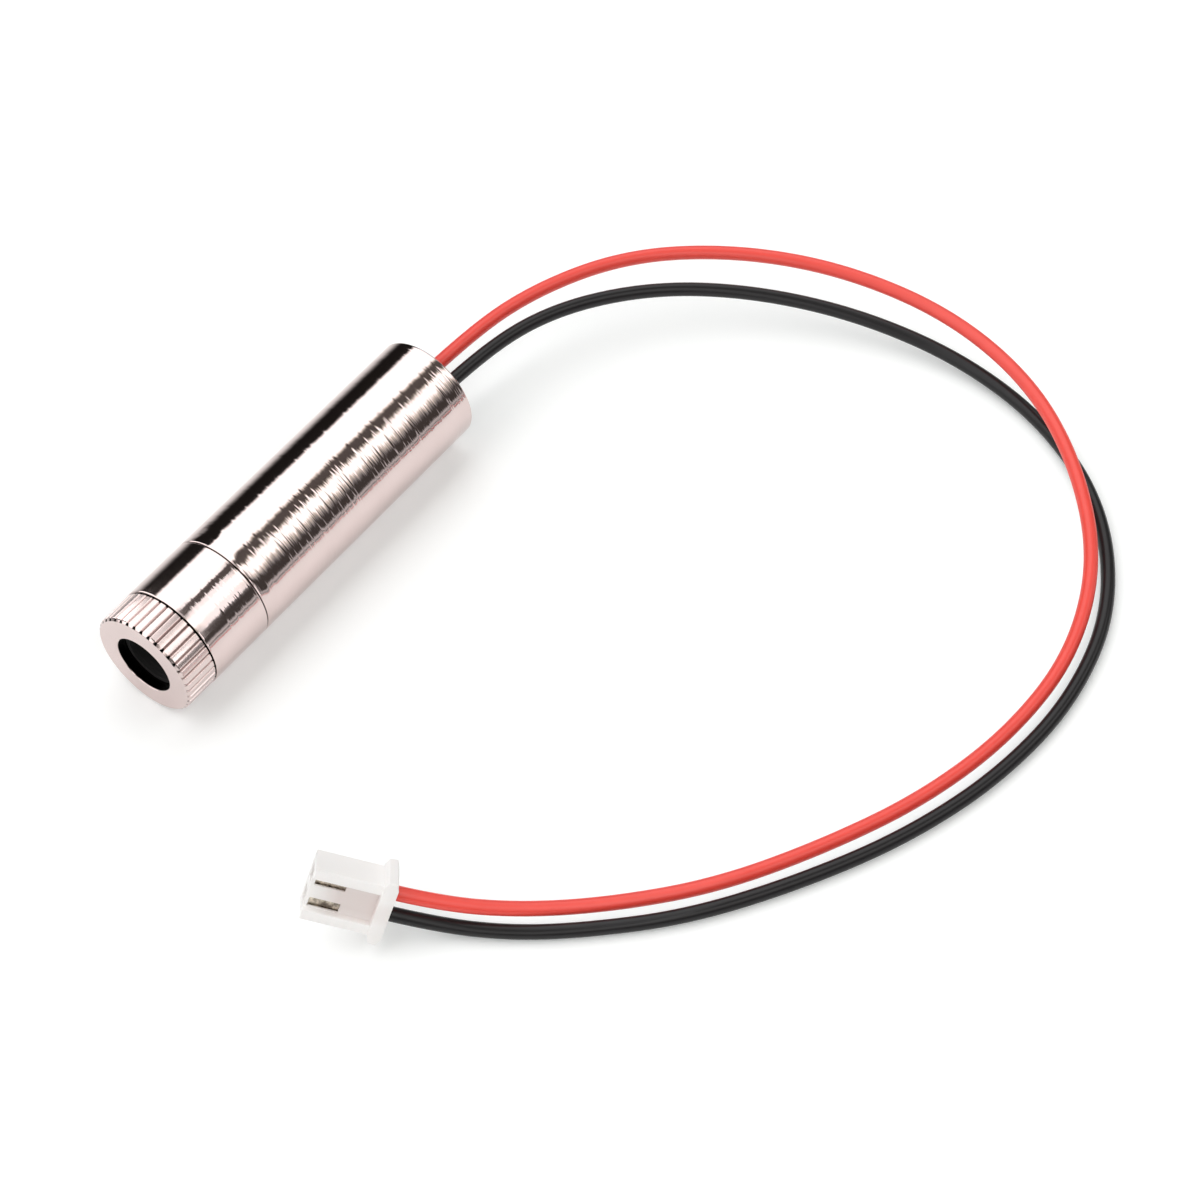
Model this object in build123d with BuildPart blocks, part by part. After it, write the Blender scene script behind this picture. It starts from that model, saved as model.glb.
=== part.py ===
from build123d import *
import os
from math import pi, radians, sqrt, tan

# Laser diode module: a nickel-plated barrel with a screw-in focus ring at the beam end, a driver board in its
# tube, two supply wires out of the back and a two-way plug on their far end.
# Millimetres. The barrel lies along Y on the plane z = 0 with its beam towards -Y. The origin is on that plane,
# below the middle of the barrel. Places along the barrel are distances from the front face of the focus ring.

# Barrel
BARREL_DIAMETER = 12.0
FRONT_LENGTH = 7.75
REAR_LENGTH = 32.5
TUBE_WALL = 0.8
SPIGOT_LENGTH = 5.0
EDGE_BREAK = 0.15

# Focus ring, a knurled collar with a screwed shank
RING_LENGTH = 3.9
RING_GAP = 0.2
RING_CHAMFER = 0.2
RING_FACE_WALL = 1.2
APERTURE_LEDGE = 0.25
APERTURE_LIP = 0.1
FLUTE_COUNT = 40
FLUTE_RADIUS = 0.26
FLUTE_DEPTH = 0.32
THREAD_WALL = 1.5
THREAD_LENGTH = 5.1
THREAD_CLEARANCE = 0.05
THREAD_RUNOUT = 0.3
SHANK_WALL = 0.9

# Lens cell, lens and spring, which follow the ring along the barrel
CELL_CLEARANCE = 0.05
CELL_WALL = 0.55
CELL_OVERHANG = 0.4
CELL_MOUTH_LIP = 0.65
CELL_STOP_LEDGE = 0.5
CELL_STOP_DEPTH = 3.6
CELL_STOP_WALL = 0.4
LENS_THICKNESS = 2.2
LENS_ROUNDNESS = 0.165
RETAINER_WIDTH = 0.6
RETAINER_LENGTH = 0.8
SPRING_WIRE = 0.4
SPRING_TURNS = 3.5
SPRING_LENGTH = 3.0
CHAMBER_CLEARANCE = 0.15

# Laser diode in its 5.6 mm header
DIODE_WALL = 1.0
HEADER_DIAMETER = 5.6
HEADER_THICKNESS = 1.2
CAN_DIAMETER = 3.55
CAN_HEIGHT = 2.3
CAN_WALL = 0.2
CAN_CLEARANCE = 0.15
WINDOW_DIAMETER = 1.6
LEAD_DIAMETER = 0.45
LEAD_LENGTH = 5.9
LEAD_ROOM_DIAMETER = 6.8

# Driver board and its components, on the board's upper face
BOARD_LENGTH = 19.0
BOARD_THICKNESS = 0.6
BOARD_CLEARANCE = 0.05
BOARD_STANDOFF = 0.65
CHIP_SIZE = (3.9, 4.9, 1.4)
CHIP_LEG = (6.0, 0.4, 0.6)
CHIP_LEG_PITCH = 1.27
CHIP_LEG_ROWS = 4
TRANSISTOR_SIZE = (1.3, 2.9, 1.0)
TRANSISTOR_LEG = (2.4, 0.4, 0.4)
TRANSISTOR_LEG_PITCH = 0.95
TRANSISTOR_LEG_ROWS = 2
INPUT_CAPACITOR_SIZE = (1.6, 3.2, 1.6)
CERAMIC_SIZE = (1.25, 2.0, 0.8)
RESISTOR_SIZE = (1.6, 0.8, 0.45)
TRIMMER_SIZE = (3.0, 3.0, 1.1)
TRIMMER_SCREW_DIAMETER = 2.0
TRIMMER_SCREW_HEIGHT = 0.4
TRIMMER_SLOT = 0.4
SOLDER_DIAMETER = 1.2
SOLDER_TAPER = 30.0
WIRE_END_LAP = 2.4
# Where the components stand: in the left (-1), middle (0) or right (1) column, behind the board's front edge
BOARD_MARGIN = 0.5
CHIP_PLACE = (0, 9.6)
TRANSISTOR_PLACE = (-1, 5.0)
TRIMMER_PLACE = (1, 5.0)
INPUT_CAPACITOR_PLACE = (1, 14.2)
CERAMIC_PLACES = [(-1, 13.6), (-1, 16.2)]
RESISTOR_PLACES = [(0, 12.9), (0, 14.1), (0, 15.3)]

# Wires and the potting that they leave through
WIRE_DIAMETER = 1.5
WIRE_SPACING = 2.6
STRIPPED_DIAMETER = 0.45
SEAL_LENGTH = 2.8
SEAL_RECESS = 0.6
WIRE_TAIL = 0.3

# Two-way plug housing, lying on one narrow side with its nose lifted
PITCH = 2.5
PLUG_BODY = (6.6, 5.9, 3.3)
RIB_WIDTH = 1.1
RIB_HEIGHT = 0.7
FLANGE_LENGTH = 1.4
FLANGE_WIDTH = 7.4
FLANGE_DEPTH = 4.0
EAR_TIP = 0.8
CAVITY = 1.6
CAVITY_OFFSET = -0.1
SLOT_LENGTH = 3.0
SLOT_WIDTH = 1.0
SLOT_INSET = 0.4
CONTACT_SIZE = 1.5
CONTACT_SHEET = 0.25
CONTACT_BOX_LENGTH = 4.6
CONTACT_INSET = 0.35
CRIMP_LENGTH = 1.2
WIRE_ENTRY = 1.0
PLUG_PLACE = (34.5, -28.3)
PLUG_HEADING = -148.0
PLUG_TILT = 18.0
PLUG_ROLL = -67.0

# Places that follow from the sizes above
BARREL_R = BARREL_DIAMETER / 2
BORE_R = BARREL_R - TUBE_WALL
WIRE_R = WIRE_DIAMETER / 2
LEAD_R = LEAD_DIAMETER / 2
THREAD_R = BARREL_R - THREAD_WALL
RING_BORE_R = THREAD_R - SHANK_WALL
APERTURE_R = RING_BORE_R - APERTURE_LEDGE
CELL_R = RING_BORE_R - CELL_CLEARANCE
LENS_R = CELL_R - CELL_WALL
LENS_SAG = LENS_ROUNDNESS * LENS_R
HOUSING_FRONT = RING_LENGTH + RING_GAP
SEAM = HOUSING_FRONT + FRONT_LENGTH
REAR_END = SEAM + REAR_LENGTH
SHANK_END = RING_LENGTH + THREAD_LENGTH
THREAD_END = SHANK_END + RING_GAP + THREAD_RUNOUT
CELL_FRONT = RING_FACE_WALL
CELL_END = SHANK_END + CELL_OVERHANG
STOP_END = CELL_FRONT + CELL_STOP_DEPTH + CELL_STOP_WALL
CHAMBER_END = CELL_END + SPRING_LENGTH
HEADER_FRONT = CHAMBER_END + DIODE_WALL
HEADER_END = HEADER_FRONT + HEADER_THICKNESS
SPIGOT_END = SEAM + SPIGOT_LENGTH
BOARD_FRONT = SPIGOT_END + BOARD_STANDOFF
BOARD_END = BOARD_FRONT + BOARD_LENGTH
SEAL_END = REAR_END - SEAL_RECESS
SEAL_FRONT = SEAL_END - SEAL_LENGTH
WIRE_START = SEAL_FRONT - WIRE_TAIL
FRONT_Y = -REAR_END / 2
AXIS_Z = BARREL_R
BARREL_AXIS = Axis((0, 0, AXIS_Z), (0, 1, 0))
PROFILE = Plane((0, FRONT_Y, AXIS_Z), x_dir=(0, 1, 0), z_dir=(1, 0, 0))
BOARD_TOP = Plane((0, FRONT_Y, AXIS_Z - LEAD_R), x_dir=(1, 0, 0), z_dir=(0, 0, 1))

os.makedirs("parts", exist_ok=True)


def station(distance):
    """Plane across the barrel at a distance from the front face: X to the right, Y up, extruding forwards."""
    return Plane((0, FRONT_Y + distance, AXIS_Z), x_dir=(1, 0, 0), z_dir=(0, -1, 0))


def section(start, end, inner, outer, mode=Mode.ADD):
    """Rectangle of a turned piece's half section, from one place along the barrel to another."""
    with Locations(((start + end) / 2, (inner + outer) / 2)):
        Rectangle(end - start, outer - inner, mode=mode)


def rims(part, radius):
    """Circular edges of one radius that run round the barrel's axis."""
    return part.edges().filter_by(GeomType.CIRCLE).filter_by(lambda edge: abs(edge.radius - radius) < 1e-4)


def finish(piece, name):
    """Label a finished piece and write it."""
    piece.part.label = name
    export_step(piece.part, f"parts/{name}.step")
    print(name, "volume", round(piece.part.volume, 3))


# Rear tube
with BuildPart() as rear_housing:
    with BuildSketch(PROFILE):
        section(SEAM, REAR_END, BORE_R, BARREL_R)
    revolve(axis=BARREL_AXIS)
    fillet(rims(rear_housing, BARREL_R), EDGE_BREAK)
finish(rear_housing, "rear_housing")

# Front housing: screwed bore, spring chamber, diode pocket and the spigot that goes into the tube
with BuildPart() as front_housing:
    with BuildSketch(PROFILE):
        section(HOUSING_FRONT, SEAM, 0, BARREL_R)
        section(SEAM, SPIGOT_END, 0, BORE_R)
        section(HOUSING_FRONT, THREAD_END, 0, THREAD_R + THREAD_CLEARANCE, Mode.SUBTRACT)
        section(THREAD_END, CHAMBER_END, 0, CELL_R + CHAMBER_CLEARANCE, Mode.SUBTRACT)
        section(CHAMBER_END, HEADER_FRONT, 0, CAN_DIAMETER / 2 + CAN_CLEARANCE, Mode.SUBTRACT)
        section(HEADER_FRONT, HEADER_END, 0, HEADER_DIAMETER / 2, Mode.SUBTRACT)
        section(HEADER_END, SPIGOT_END, 0, LEAD_ROOM_DIAMETER / 2, Mode.SUBTRACT)
    revolve(axis=BARREL_AXIS)
    fillet(rims(front_housing, BARREL_R), EDGE_BREAK)
finish(front_housing, "front_housing")

# Focus ring: flat face with the beam aperture, straight knurl, screwed shank
with BuildPart() as focus_ring:
    with BuildSketch(PROFILE):
        section(0, RING_LENGTH, 0, BARREL_R)
        section(RING_LENGTH, SHANK_END, 0, THREAD_R)
        section(0, RING_FACE_WALL, 0, APERTURE_R, Mode.SUBTRACT)
        section(RING_FACE_WALL, SHANK_END, 0, RING_BORE_R, Mode.SUBTRACT)
    revolve(axis=BARREL_AXIS)
    chamfer(rims(focus_ring, BARREL_R).sort_by(Axis.Y)[0], RING_CHAMFER)
    chamfer(rims(focus_ring, APERTURE_R).sort_by(Axis.Y)[0], APERTURE_LIP)
    with BuildSketch(station(0)):
        with PolarLocations(BARREL_R - FLUTE_DEPTH + FLUTE_RADIUS, FLUTE_COUNT, start_angle=180 / FLUTE_COUNT):
            Circle(FLUTE_RADIUS)
    extrude(amount=-RING_LENGTH, mode=Mode.SUBTRACT)
finish(focus_ring, "focus_ring")

# Lens cell: a black moulded barrel with a tapered mouth, a stop and a pocket for the lens
CELL_MOUTH_R = CELL_R - CELL_MOUTH_LIP
CELL_STOP_R = LENS_R - CELL_STOP_LEDGE
with BuildPart() as lens_cell:
    with BuildSketch(PROFILE):
        section(CELL_FRONT, CELL_END, 0, CELL_R)
        section(STOP_END, CELL_END, 0, LENS_R, Mode.SUBTRACT)
        section(CELL_FRONT, STOP_END, 0, CELL_STOP_R, Mode.SUBTRACT)
        with BuildLine():
            Polyline(
                (CELL_FRONT, 0),
                (CELL_FRONT, CELL_MOUTH_R),
                (CELL_FRONT + CELL_STOP_DEPTH, CELL_STOP_R),
                (CELL_FRONT + CELL_STOP_DEPTH, 0),
                close=True,
            )
        make_face(mode=Mode.SUBTRACT)
    revolve(axis=BARREL_AXIS)
finish(lens_cell, "lens_cell")

# Collimating lens, round on both faces, its front resting on the edge of the stop
LENS_CURVE = (LENS_R**2 + LENS_SAG**2) / (2 * LENS_SAG)


def lens_sag(radius):
    """How far the lens's surface falls back from its crown at a radius."""
    return LENS_CURVE - sqrt(LENS_CURVE**2 - radius**2)


LENS_FRONT = STOP_END - lens_sag(CELL_STOP_R)
LENS_END = LENS_FRONT + LENS_THICKNESS
with BuildPart() as collimating_lens:
    with BuildSketch(PROFILE):
        with BuildLine():
            ThreePointArc(
                (LENS_FRONT, 0),
                (LENS_FRONT + lens_sag(LENS_R / 2), LENS_R / 2),
                (LENS_FRONT + LENS_SAG, LENS_R),
            )
            Line((LENS_FRONT + LENS_SAG, LENS_R), (LENS_END - LENS_SAG, LENS_R))
            ThreePointArc(
                (LENS_END - LENS_SAG, LENS_R),
                (LENS_END - lens_sag(LENS_R / 2), LENS_R / 2),
                (LENS_END, 0),
            )
            Line((LENS_END, 0), (LENS_FRONT, 0))
        make_face()
    revolve(axis=BARREL_AXIS)
finish(collimating_lens, "collimating_lens")

# Ring that holds the lens in its cell, its inner edge against the back of the lens
RETAINER_R = LENS_R - RETAINER_WIDTH
RETAINER_FRONT = LENS_END - lens_sag(RETAINER_R)
with BuildPart() as lens_retainer:
    with BuildSketch(PROFILE):
        section(RETAINER_FRONT, RETAINER_FRONT + RETAINER_LENGTH, RETAINER_R, LENS_R)
    revolve(axis=BARREL_AXIS)
finish(lens_retainer, "lens_retainer")

# Focus spring between the lens cell's back rim and the floor of the chamber
SPRING_R = (LENS_R + CELL_R) / 2
with BuildPart() as focus_spring:
    with BuildLine() as coil:
        Helix(
            pitch=(SPRING_LENGTH - SPRING_WIRE) / SPRING_TURNS,
            height=SPRING_LENGTH - SPRING_WIRE,
            radius=SPRING_R,
            center=(0, FRONT_Y + CELL_END + SPRING_WIRE / 2, AXIS_Z),
            direction=(0, 1, 0),
        )
    with BuildSketch(Plane(coil.line @ 0, z_dir=coil.line % 0)):
        Circle(SPRING_WIRE / 2)
    sweep(path=coil.line, is_frenet=True)
finish(focus_spring, "focus_spring")

# Laser diode: round header, cap with a window, three leads that straddle the driver board
with BuildPart() as diode_base:
    with BuildSketch(station(HEADER_FRONT)):
        Circle(HEADER_DIAMETER / 2)
    extrude(amount=-HEADER_THICKNESS)
finish(diode_base, "diode_base")

CAN_FRONT = HEADER_FRONT - CAN_HEIGHT
with BuildPart() as diode_can:
    with BuildSketch(PROFILE):
        section(CAN_FRONT, HEADER_FRONT, 0, CAN_DIAMETER / 2)
        section(CAN_FRONT + CAN_WALL, HEADER_FRONT, 0, CAN_DIAMETER / 2 - CAN_WALL, Mode.SUBTRACT)
        section(CAN_FRONT, CAN_FRONT + CAN_WALL, 0, WINDOW_DIAMETER / 2, Mode.SUBTRACT)
    revolve(axis=BARREL_AXIS)
finish(diode_can, "diode_can")

with BuildPart() as diode_window:
    with BuildSketch(station(CAN_FRONT)):
        Circle(WINDOW_DIAMETER / 2)
    extrude(amount=-CAN_WALL)
finish(diode_window, "diode_window")

LEAD_OFFSET = BOARD_THICKNESS + 2 * LEAD_R
TOP_LEADS = [(-LEAD_OFFSET, 0), (LEAD_OFFSET, 0)]
LOWER_LEAD = (0, -LEAD_OFFSET)
with BuildPart() as diode_leads:
    with BuildSketch(station(HEADER_END)):
        with Locations(*TOP_LEADS, LOWER_LEAD):
            Circle(LEAD_R)
    extrude(amount=-LEAD_LENGTH)
finish(diode_leads, "diode_leads")

# Driver board, as wide as the tube's bore lets its lower edges be
BOARD_DROP = LEAD_R + BOARD_THICKNESS
BOARD_WIDTH = 2 * (sqrt(BORE_R**2 - BOARD_DROP**2) - BOARD_CLEARANCE)
with BuildPart() as driver_board:
    with BuildSketch(BOARD_TOP):
        with Locations((0, (BOARD_FRONT + BOARD_END) / 2)):
            Rectangle(BOARD_WIDTH, BOARD_LENGTH)
    extrude(amount=-BOARD_THICKNESS)
finish(driver_board, "driver_board")


def board_place(place, width):
    """Middle of a component of that width: the side columns keep a margin from the board's long edges."""
    column, back = place
    return column * (BOARD_WIDTH / 2 - BOARD_MARGIN - width / 2), BOARD_FRONT + back


def bodies_on_board(places, size, width=None):
    """Component bodies standing on the board, each as wide over its legs as width."""
    with Locations(*[(*board_place(place, width or size[0]), size[2] / 2) for place in places]):
        Box(*size)


def legs_on_board(place, leg, pitch, rows):
    """Flat legs that pass under a component from side to side, in a row along the barrel."""
    with Locations((*board_place(place, leg[0]), leg[2] / 2)):
        with GridLocations(0, pitch, 1, rows):
            Box(*leg)


with BuildPart(BOARD_TOP) as regulator_chip:
    bodies_on_board([CHIP_PLACE], CHIP_SIZE, CHIP_LEG[0])
    legs_on_board(CHIP_PLACE, CHIP_LEG, CHIP_LEG_PITCH, CHIP_LEG_ROWS)
finish(regulator_chip, "regulator_chip")

with BuildPart(BOARD_TOP) as pass_transistor:
    bodies_on_board([TRANSISTOR_PLACE], TRANSISTOR_SIZE, TRANSISTOR_LEG[0])
    legs_on_board(TRANSISTOR_PLACE, TRANSISTOR_LEG, TRANSISTOR_LEG_PITCH, TRANSISTOR_LEG_ROWS)
finish(pass_transistor, "pass_transistor")

with BuildPart(BOARD_TOP) as input_capacitor:
    bodies_on_board([INPUT_CAPACITOR_PLACE], INPUT_CAPACITOR_SIZE)
    fillet(input_capacitor.edges().filter_by(Axis.Z), EDGE_BREAK)
finish(input_capacitor, "input_capacitor")

with BuildPart(BOARD_TOP) as ceramic_capacitors:
    bodies_on_board(CERAMIC_PLACES, CERAMIC_SIZE)
finish(ceramic_capacitors, "ceramic_capacitors")

with BuildPart(BOARD_TOP) as resistors:
    bodies_on_board(RESISTOR_PLACES, RESISTOR_SIZE)
finish(resistors, "resistors")

# Trimmer that sets the diode current: a square base and a slotted round screw
with BuildPart(BOARD_TOP) as trimmer:
    bodies_on_board([TRIMMER_PLACE], TRIMMER_SIZE)
    with BuildSketch(BOARD_TOP.offset(TRIMMER_SIZE[2])):
        with Locations(board_place(TRIMMER_PLACE, TRIMMER_SIZE[0])):
            Circle(TRIMMER_SCREW_DIAMETER / 2)
            Rectangle(TRIMMER_SCREW_DIAMETER, TRIMMER_SLOT, mode=Mode.SUBTRACT)
    extrude(amount=TRIMMER_SCREW_HEIGHT)
finish(trimmer, "trimmer")

# Solder: cones on the board round the ends of the leads and of the wires
LEAD_JOINT = HEADER_END + LEAD_LENGTH - SOLDER_DIAMETER / 2
WIRE_JOINT = BOARD_END - WIRE_END_LAP + SOLDER_DIAMETER / 2
STRIPPED_ENDS = [(-WIRE_SPACING / 2, 0), (WIRE_SPACING / 2, 0)]


def solder_channels(places, diameter, board_side):
    """Section of round leads with the room between each and the board, which is below (-1) or above (1) it."""
    with Locations(*places):
        Circle(diameter / 2)
        with Locations((0, board_side * diameter / 2)):
            Rectangle(diameter, diameter)


with BuildPart() as solder_joints:
    with BuildSketch(BOARD_TOP):
        with Locations(
            *[(right, LEAD_JOINT) for right, _ in TOP_LEADS],
            *[(right, WIRE_JOINT) for right, _ in STRIPPED_ENDS],
        ):
            Circle(SOLDER_DIAMETER / 2)
    extrude(amount=SOLDER_DIAMETER / 2, taper=SOLDER_TAPER)
    with BuildSketch(BOARD_TOP.offset(-BOARD_THICKNESS)):
        with Locations((LOWER_LEAD[0], LEAD_JOINT)):
            Circle(SOLDER_DIAMETER / 2)
    extrude(amount=-SOLDER_DIAMETER / 2, taper=SOLDER_TAPER)
    with BuildSketch(station(HEADER_END)):
        solder_channels(TOP_LEADS, LEAD_DIAMETER, -1)
        solder_channels([LOWER_LEAD], LEAD_DIAMETER, 1)
    extrude(amount=-LEAD_LENGTH, mode=Mode.SUBTRACT)
    with BuildSketch(station(WIRE_START)):
        solder_channels(STRIPPED_ENDS, STRIPPED_DIAMETER, -1)
    extrude(amount=WIRE_START - BOARD_END + WIRE_END_LAP, mode=Mode.SUBTRACT)
finish(solder_joints, "solder_joints")

with BuildPart() as wire_ends:
    with BuildSketch(station(WIRE_START)):
        with Locations(*STRIPPED_ENDS):
            Circle(STRIPPED_DIAMETER / 2)
    extrude(amount=WIRE_START - BOARD_END + WIRE_END_LAP)
finish(wire_ends, "wire_ends")

# Potting that closes the tube round the two wires
with BuildPart() as rear_seal:
    with BuildSketch(station(SEAL_FRONT)):
        Circle(BORE_R)
        with Locations(*STRIPPED_ENDS):
            Circle(WIRE_R, mode=Mode.SUBTRACT)
    extrude(amount=-SEAL_LENGTH)
finish(rear_seal, "rear_seal")

# The plug's own frame: X to the nose, Y from the red wire to the black one, Z out of the face with the slots
NOSE = Vector(1, 0, 0).rotate(Axis.Y, -PLUG_TILT).rotate(Axis.Z, PLUG_HEADING)
FACE = Vector(0, 0, 1).rotate(Axis.X, PLUG_ROLL).rotate(Axis.Y, -PLUG_TILT).rotate(Axis.Z, PLUG_HEADING)
ACROSS = FACE.cross(NOSE)
# The flange's lowest ear stands on the floor
PLUG_HEIGHT = (
    (FLANGE_LENGTH + EAR_TIP) / 2 * NOSE.Z - FLANGE_WIDTH / 2 * ACROSS.Z + FLANGE_DEPTH / 2 * FACE.Z
)
PLUG = Plane((*PLUG_PLACE, PLUG_HEIGHT), x_dir=NOSE, z_dir=FACE)
BODY_LENGTH, BODY_WIDTH, BODY_DEPTH = PLUG_BODY
CAVITY_SIDES = (-PITCH / 2, PITCH / 2)
SLOT_FLOOR = BODY_DEPTH / 2 - RIB_HEIGHT

with BuildPart(PLUG) as plug_housing:
    with Locations((BODY_LENGTH / 2, 0, 0)):
        Box(*PLUG_BODY)
    with Locations((BODY_LENGTH / 2, 0, BODY_DEPTH / 2 - RIB_HEIGHT / 2)):
        Box(BODY_LENGTH, BODY_WIDTH - 2 * RIB_WIDTH, RIB_HEIGHT, mode=Mode.SUBTRACT)
    with BuildSketch(PLUG.offset(-FLANGE_DEPTH / 2)):
        with BuildLine():
            Polyline(
                (-FLANGE_LENGTH, -BODY_WIDTH / 2),
                ((-FLANGE_LENGTH - EAR_TIP) / 2, -FLANGE_WIDTH / 2),
                ((-FLANGE_LENGTH + EAR_TIP) / 2, -FLANGE_WIDTH / 2),
                (0, -BODY_WIDTH / 2),
                (0, BODY_WIDTH / 2),
                ((-FLANGE_LENGTH + EAR_TIP) / 2, FLANGE_WIDTH / 2),
                ((-FLANGE_LENGTH - EAR_TIP) / 2, FLANGE_WIDTH / 2),
                (-FLANGE_LENGTH, BODY_WIDTH / 2),
                close=True,
            )
        make_face()
    extrude(amount=FLANGE_DEPTH)
    with Locations(*[(BODY_LENGTH / 2 - FLANGE_LENGTH / 2, across, CAVITY_OFFSET) for across in CAVITY_SIDES]):
        Box(BODY_LENGTH + FLANGE_LENGTH, CAVITY, CAVITY, mode=Mode.SUBTRACT)
    with Locations(
        *[(BODY_LENGTH - SLOT_INSET - SLOT_LENGTH / 2, across, SLOT_FLOOR / 2) for across in CAVITY_SIDES]
    ):
        Box(SLOT_LENGTH, SLOT_WIDTH, SLOT_FLOOR, mode=Mode.SUBTRACT)
finish(plug_housing, "plug_housing")

# Crimped contacts, on the floor of their cavities: a folded box at the nose, a strip and a barrel on the wire
CONTACT_FRONT = BODY_LENGTH - CONTACT_INSET
CONTACT_BACK = CONTACT_FRONT - CONTACT_BOX_LENGTH
WIRE_END = WIRE_ENTRY - FLANGE_LENGTH
CONTACT_OFFSET = CAVITY_OFFSET - (CAVITY - CONTACT_SIZE) / 2
CONTACT_FLOOR = CONTACT_OFFSET - CONTACT_SIZE / 2 + CONTACT_SHEET / 2
with BuildPart(PLUG) as plug_contacts:
    for across in CAVITY_SIDES:
        with Locations(((CONTACT_FRONT + CONTACT_BACK) / 2, across, CONTACT_OFFSET)):
            Box(CONTACT_BOX_LENGTH, CONTACT_SIZE, CONTACT_SIZE)
            Box(
                CONTACT_BOX_LENGTH,
                CONTACT_SIZE - 2 * CONTACT_SHEET,
                CONTACT_SIZE - 2 * CONTACT_SHEET,
                mode=Mode.SUBTRACT,
            )
        with Locations(((CONTACT_BACK + WIRE_END) / 2, across, CONTACT_FLOOR)):
            Box(CONTACT_BACK - WIRE_END, CONTACT_SIZE / 2, CONTACT_SHEET)
        with Locations((WIRE_END + CRIMP_LENGTH / 2, across, CONTACT_OFFSET)):
            Cylinder(CONTACT_SIZE / 2, CRIMP_LENGTH, rotation=(0, 90, 0))
finish(plug_contacts, "plug_contacts")

# Wires. Each leaves the potting straight, comes down to the floor in one wide turn and runs back to the plug.
# The red wire passes over the black one where the turn begins.
RED_TURN = [
    (-WIRE_SPACING / 2, 28.5, AXIS_Z),
    (0.5, 39.0, 5.9),
    (5.6, 49.6, 5.6),
    (13.8, 58.2, 5.1),
    (24.6, 63.7, 4.6),
    (37.0, 65.2, 4.0),
    (48.6, 62.6, 3.5),
    (58.6, 56.9, 3.5),
    (66.4, 48.2, 2.2),
    (70.6, 37.6, 1.0),
    (71.1, 26.0, WIRE_R),
    (68.6, 14.5, WIRE_R),
    (63.9, 4.0, WIRE_R),
    (57.9, -5.8, WIRE_R),
    (51.3, -13.6, 1.0),
    (45.2, -19.8, 2.0),
]
BLACK_TURN = [
    (WIRE_SPACING / 2, 28.0, AXIS_Z),
    (3.5, 38.4, 5.6),
    (9.3, 48.2, 4.8),
    (17.8, 55.7, 3.7),
    (28.5, 60.8, 2.5),
    (40.4, 62.7, 1.3),
    (52.2, 60.9, WIRE_R),
    (62.6, 54.7, WIRE_R),
    (70.6, 44.8, WIRE_R),
    (73.9, 33.0, WIRE_R),
    (73.1, 21.0, WIRE_R),
    (69.6, 9.8, WIRE_R),
    (64.3, -0.6, WIRE_R),
    (57.8, -10.2, WIRE_R),
    (50.8, -17.4, WIRE_R),
    (45.2, -22.0, WIRE_R),
]
PLUG_LEAD_OUT = 5.6
ARC_SHARE = 0.45


def corner_radii(points):
    """Radius at each corner: as large as its shorter run allows."""
    radii = []
    for before, corner, after in zip(points, points[1:], points[2:]):
        arriving = Vector(*corner) - Vector(*before)
        leaving = Vector(*after) - Vector(*corner)
        shorter = min(arriving.length, leaving.length)
        radii.append(ARC_SHARE * shorter / tan(radians(arriving.get_angle(leaving)) / 2))
    return radii


def wire_route(side, turn):
    """Points of one wire, from inside the potting to its crimp: side is -1 for red and 1 for black."""
    start = Vector(side * WIRE_SPACING / 2, FRONT_Y + WIRE_START, AXIS_Z)
    end = PLUG.from_local_coords(Vector(WIRE_END, side * PITCH / 2, CONTACT_OFFSET))
    lead_out = PLUG.from_local_coords(Vector(WIRE_END - PLUG_LEAD_OUT, side * PITCH / 2, CONTACT_OFFSET))
    return [tuple(start), *turn, tuple(lead_out), tuple(end)]


for wire_name, side, turn in (("red_wire", -1, RED_TURN), ("black_wire", 1, BLACK_TURN)):
    route = wire_route(side, turn)
    radii = corner_radii(route)
    with BuildPart() as wire:
        with BuildLine() as path:
            FilletPolyline(*route, radius=radii)
        with BuildSketch(Plane(path.line @ 0, z_dir=path.line % 0)):
            Circle(WIRE_R)
        sweep(path=path.line)
    finish(wire, wire_name)
    length = path.wire().length
    print("   length", round(length, 1), "section times length", round(pi * WIRE_R**2 * length, 3))
    print("   radii", [round(radius, 1) for radius in radii])
    print("   ends", [tuple(round(value, 2) for value in point) for point in (route[0], route[-2], route[-1])])
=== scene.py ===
# %% [markdown]
# # A laser diode module
#
# The object is a nickel-plated barrel, 12 mm across, that lies on a white table. A knurled ring at its front
# moves a lens, and a red and a black wire leave its back and end in a small white plug.
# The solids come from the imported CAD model. This script dresses them: it lays the wires, turns finer metal
# surfaces, and gives every piece a finish. All lengths are in metres, in the CAD model's own frame, where the
# barrel lies along Y and its beam leaves towards -Y.

# %% The CAD frame
import math

import bmesh
import bpy
import numpy as np
from mathutils import Matrix, Vector


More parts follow.
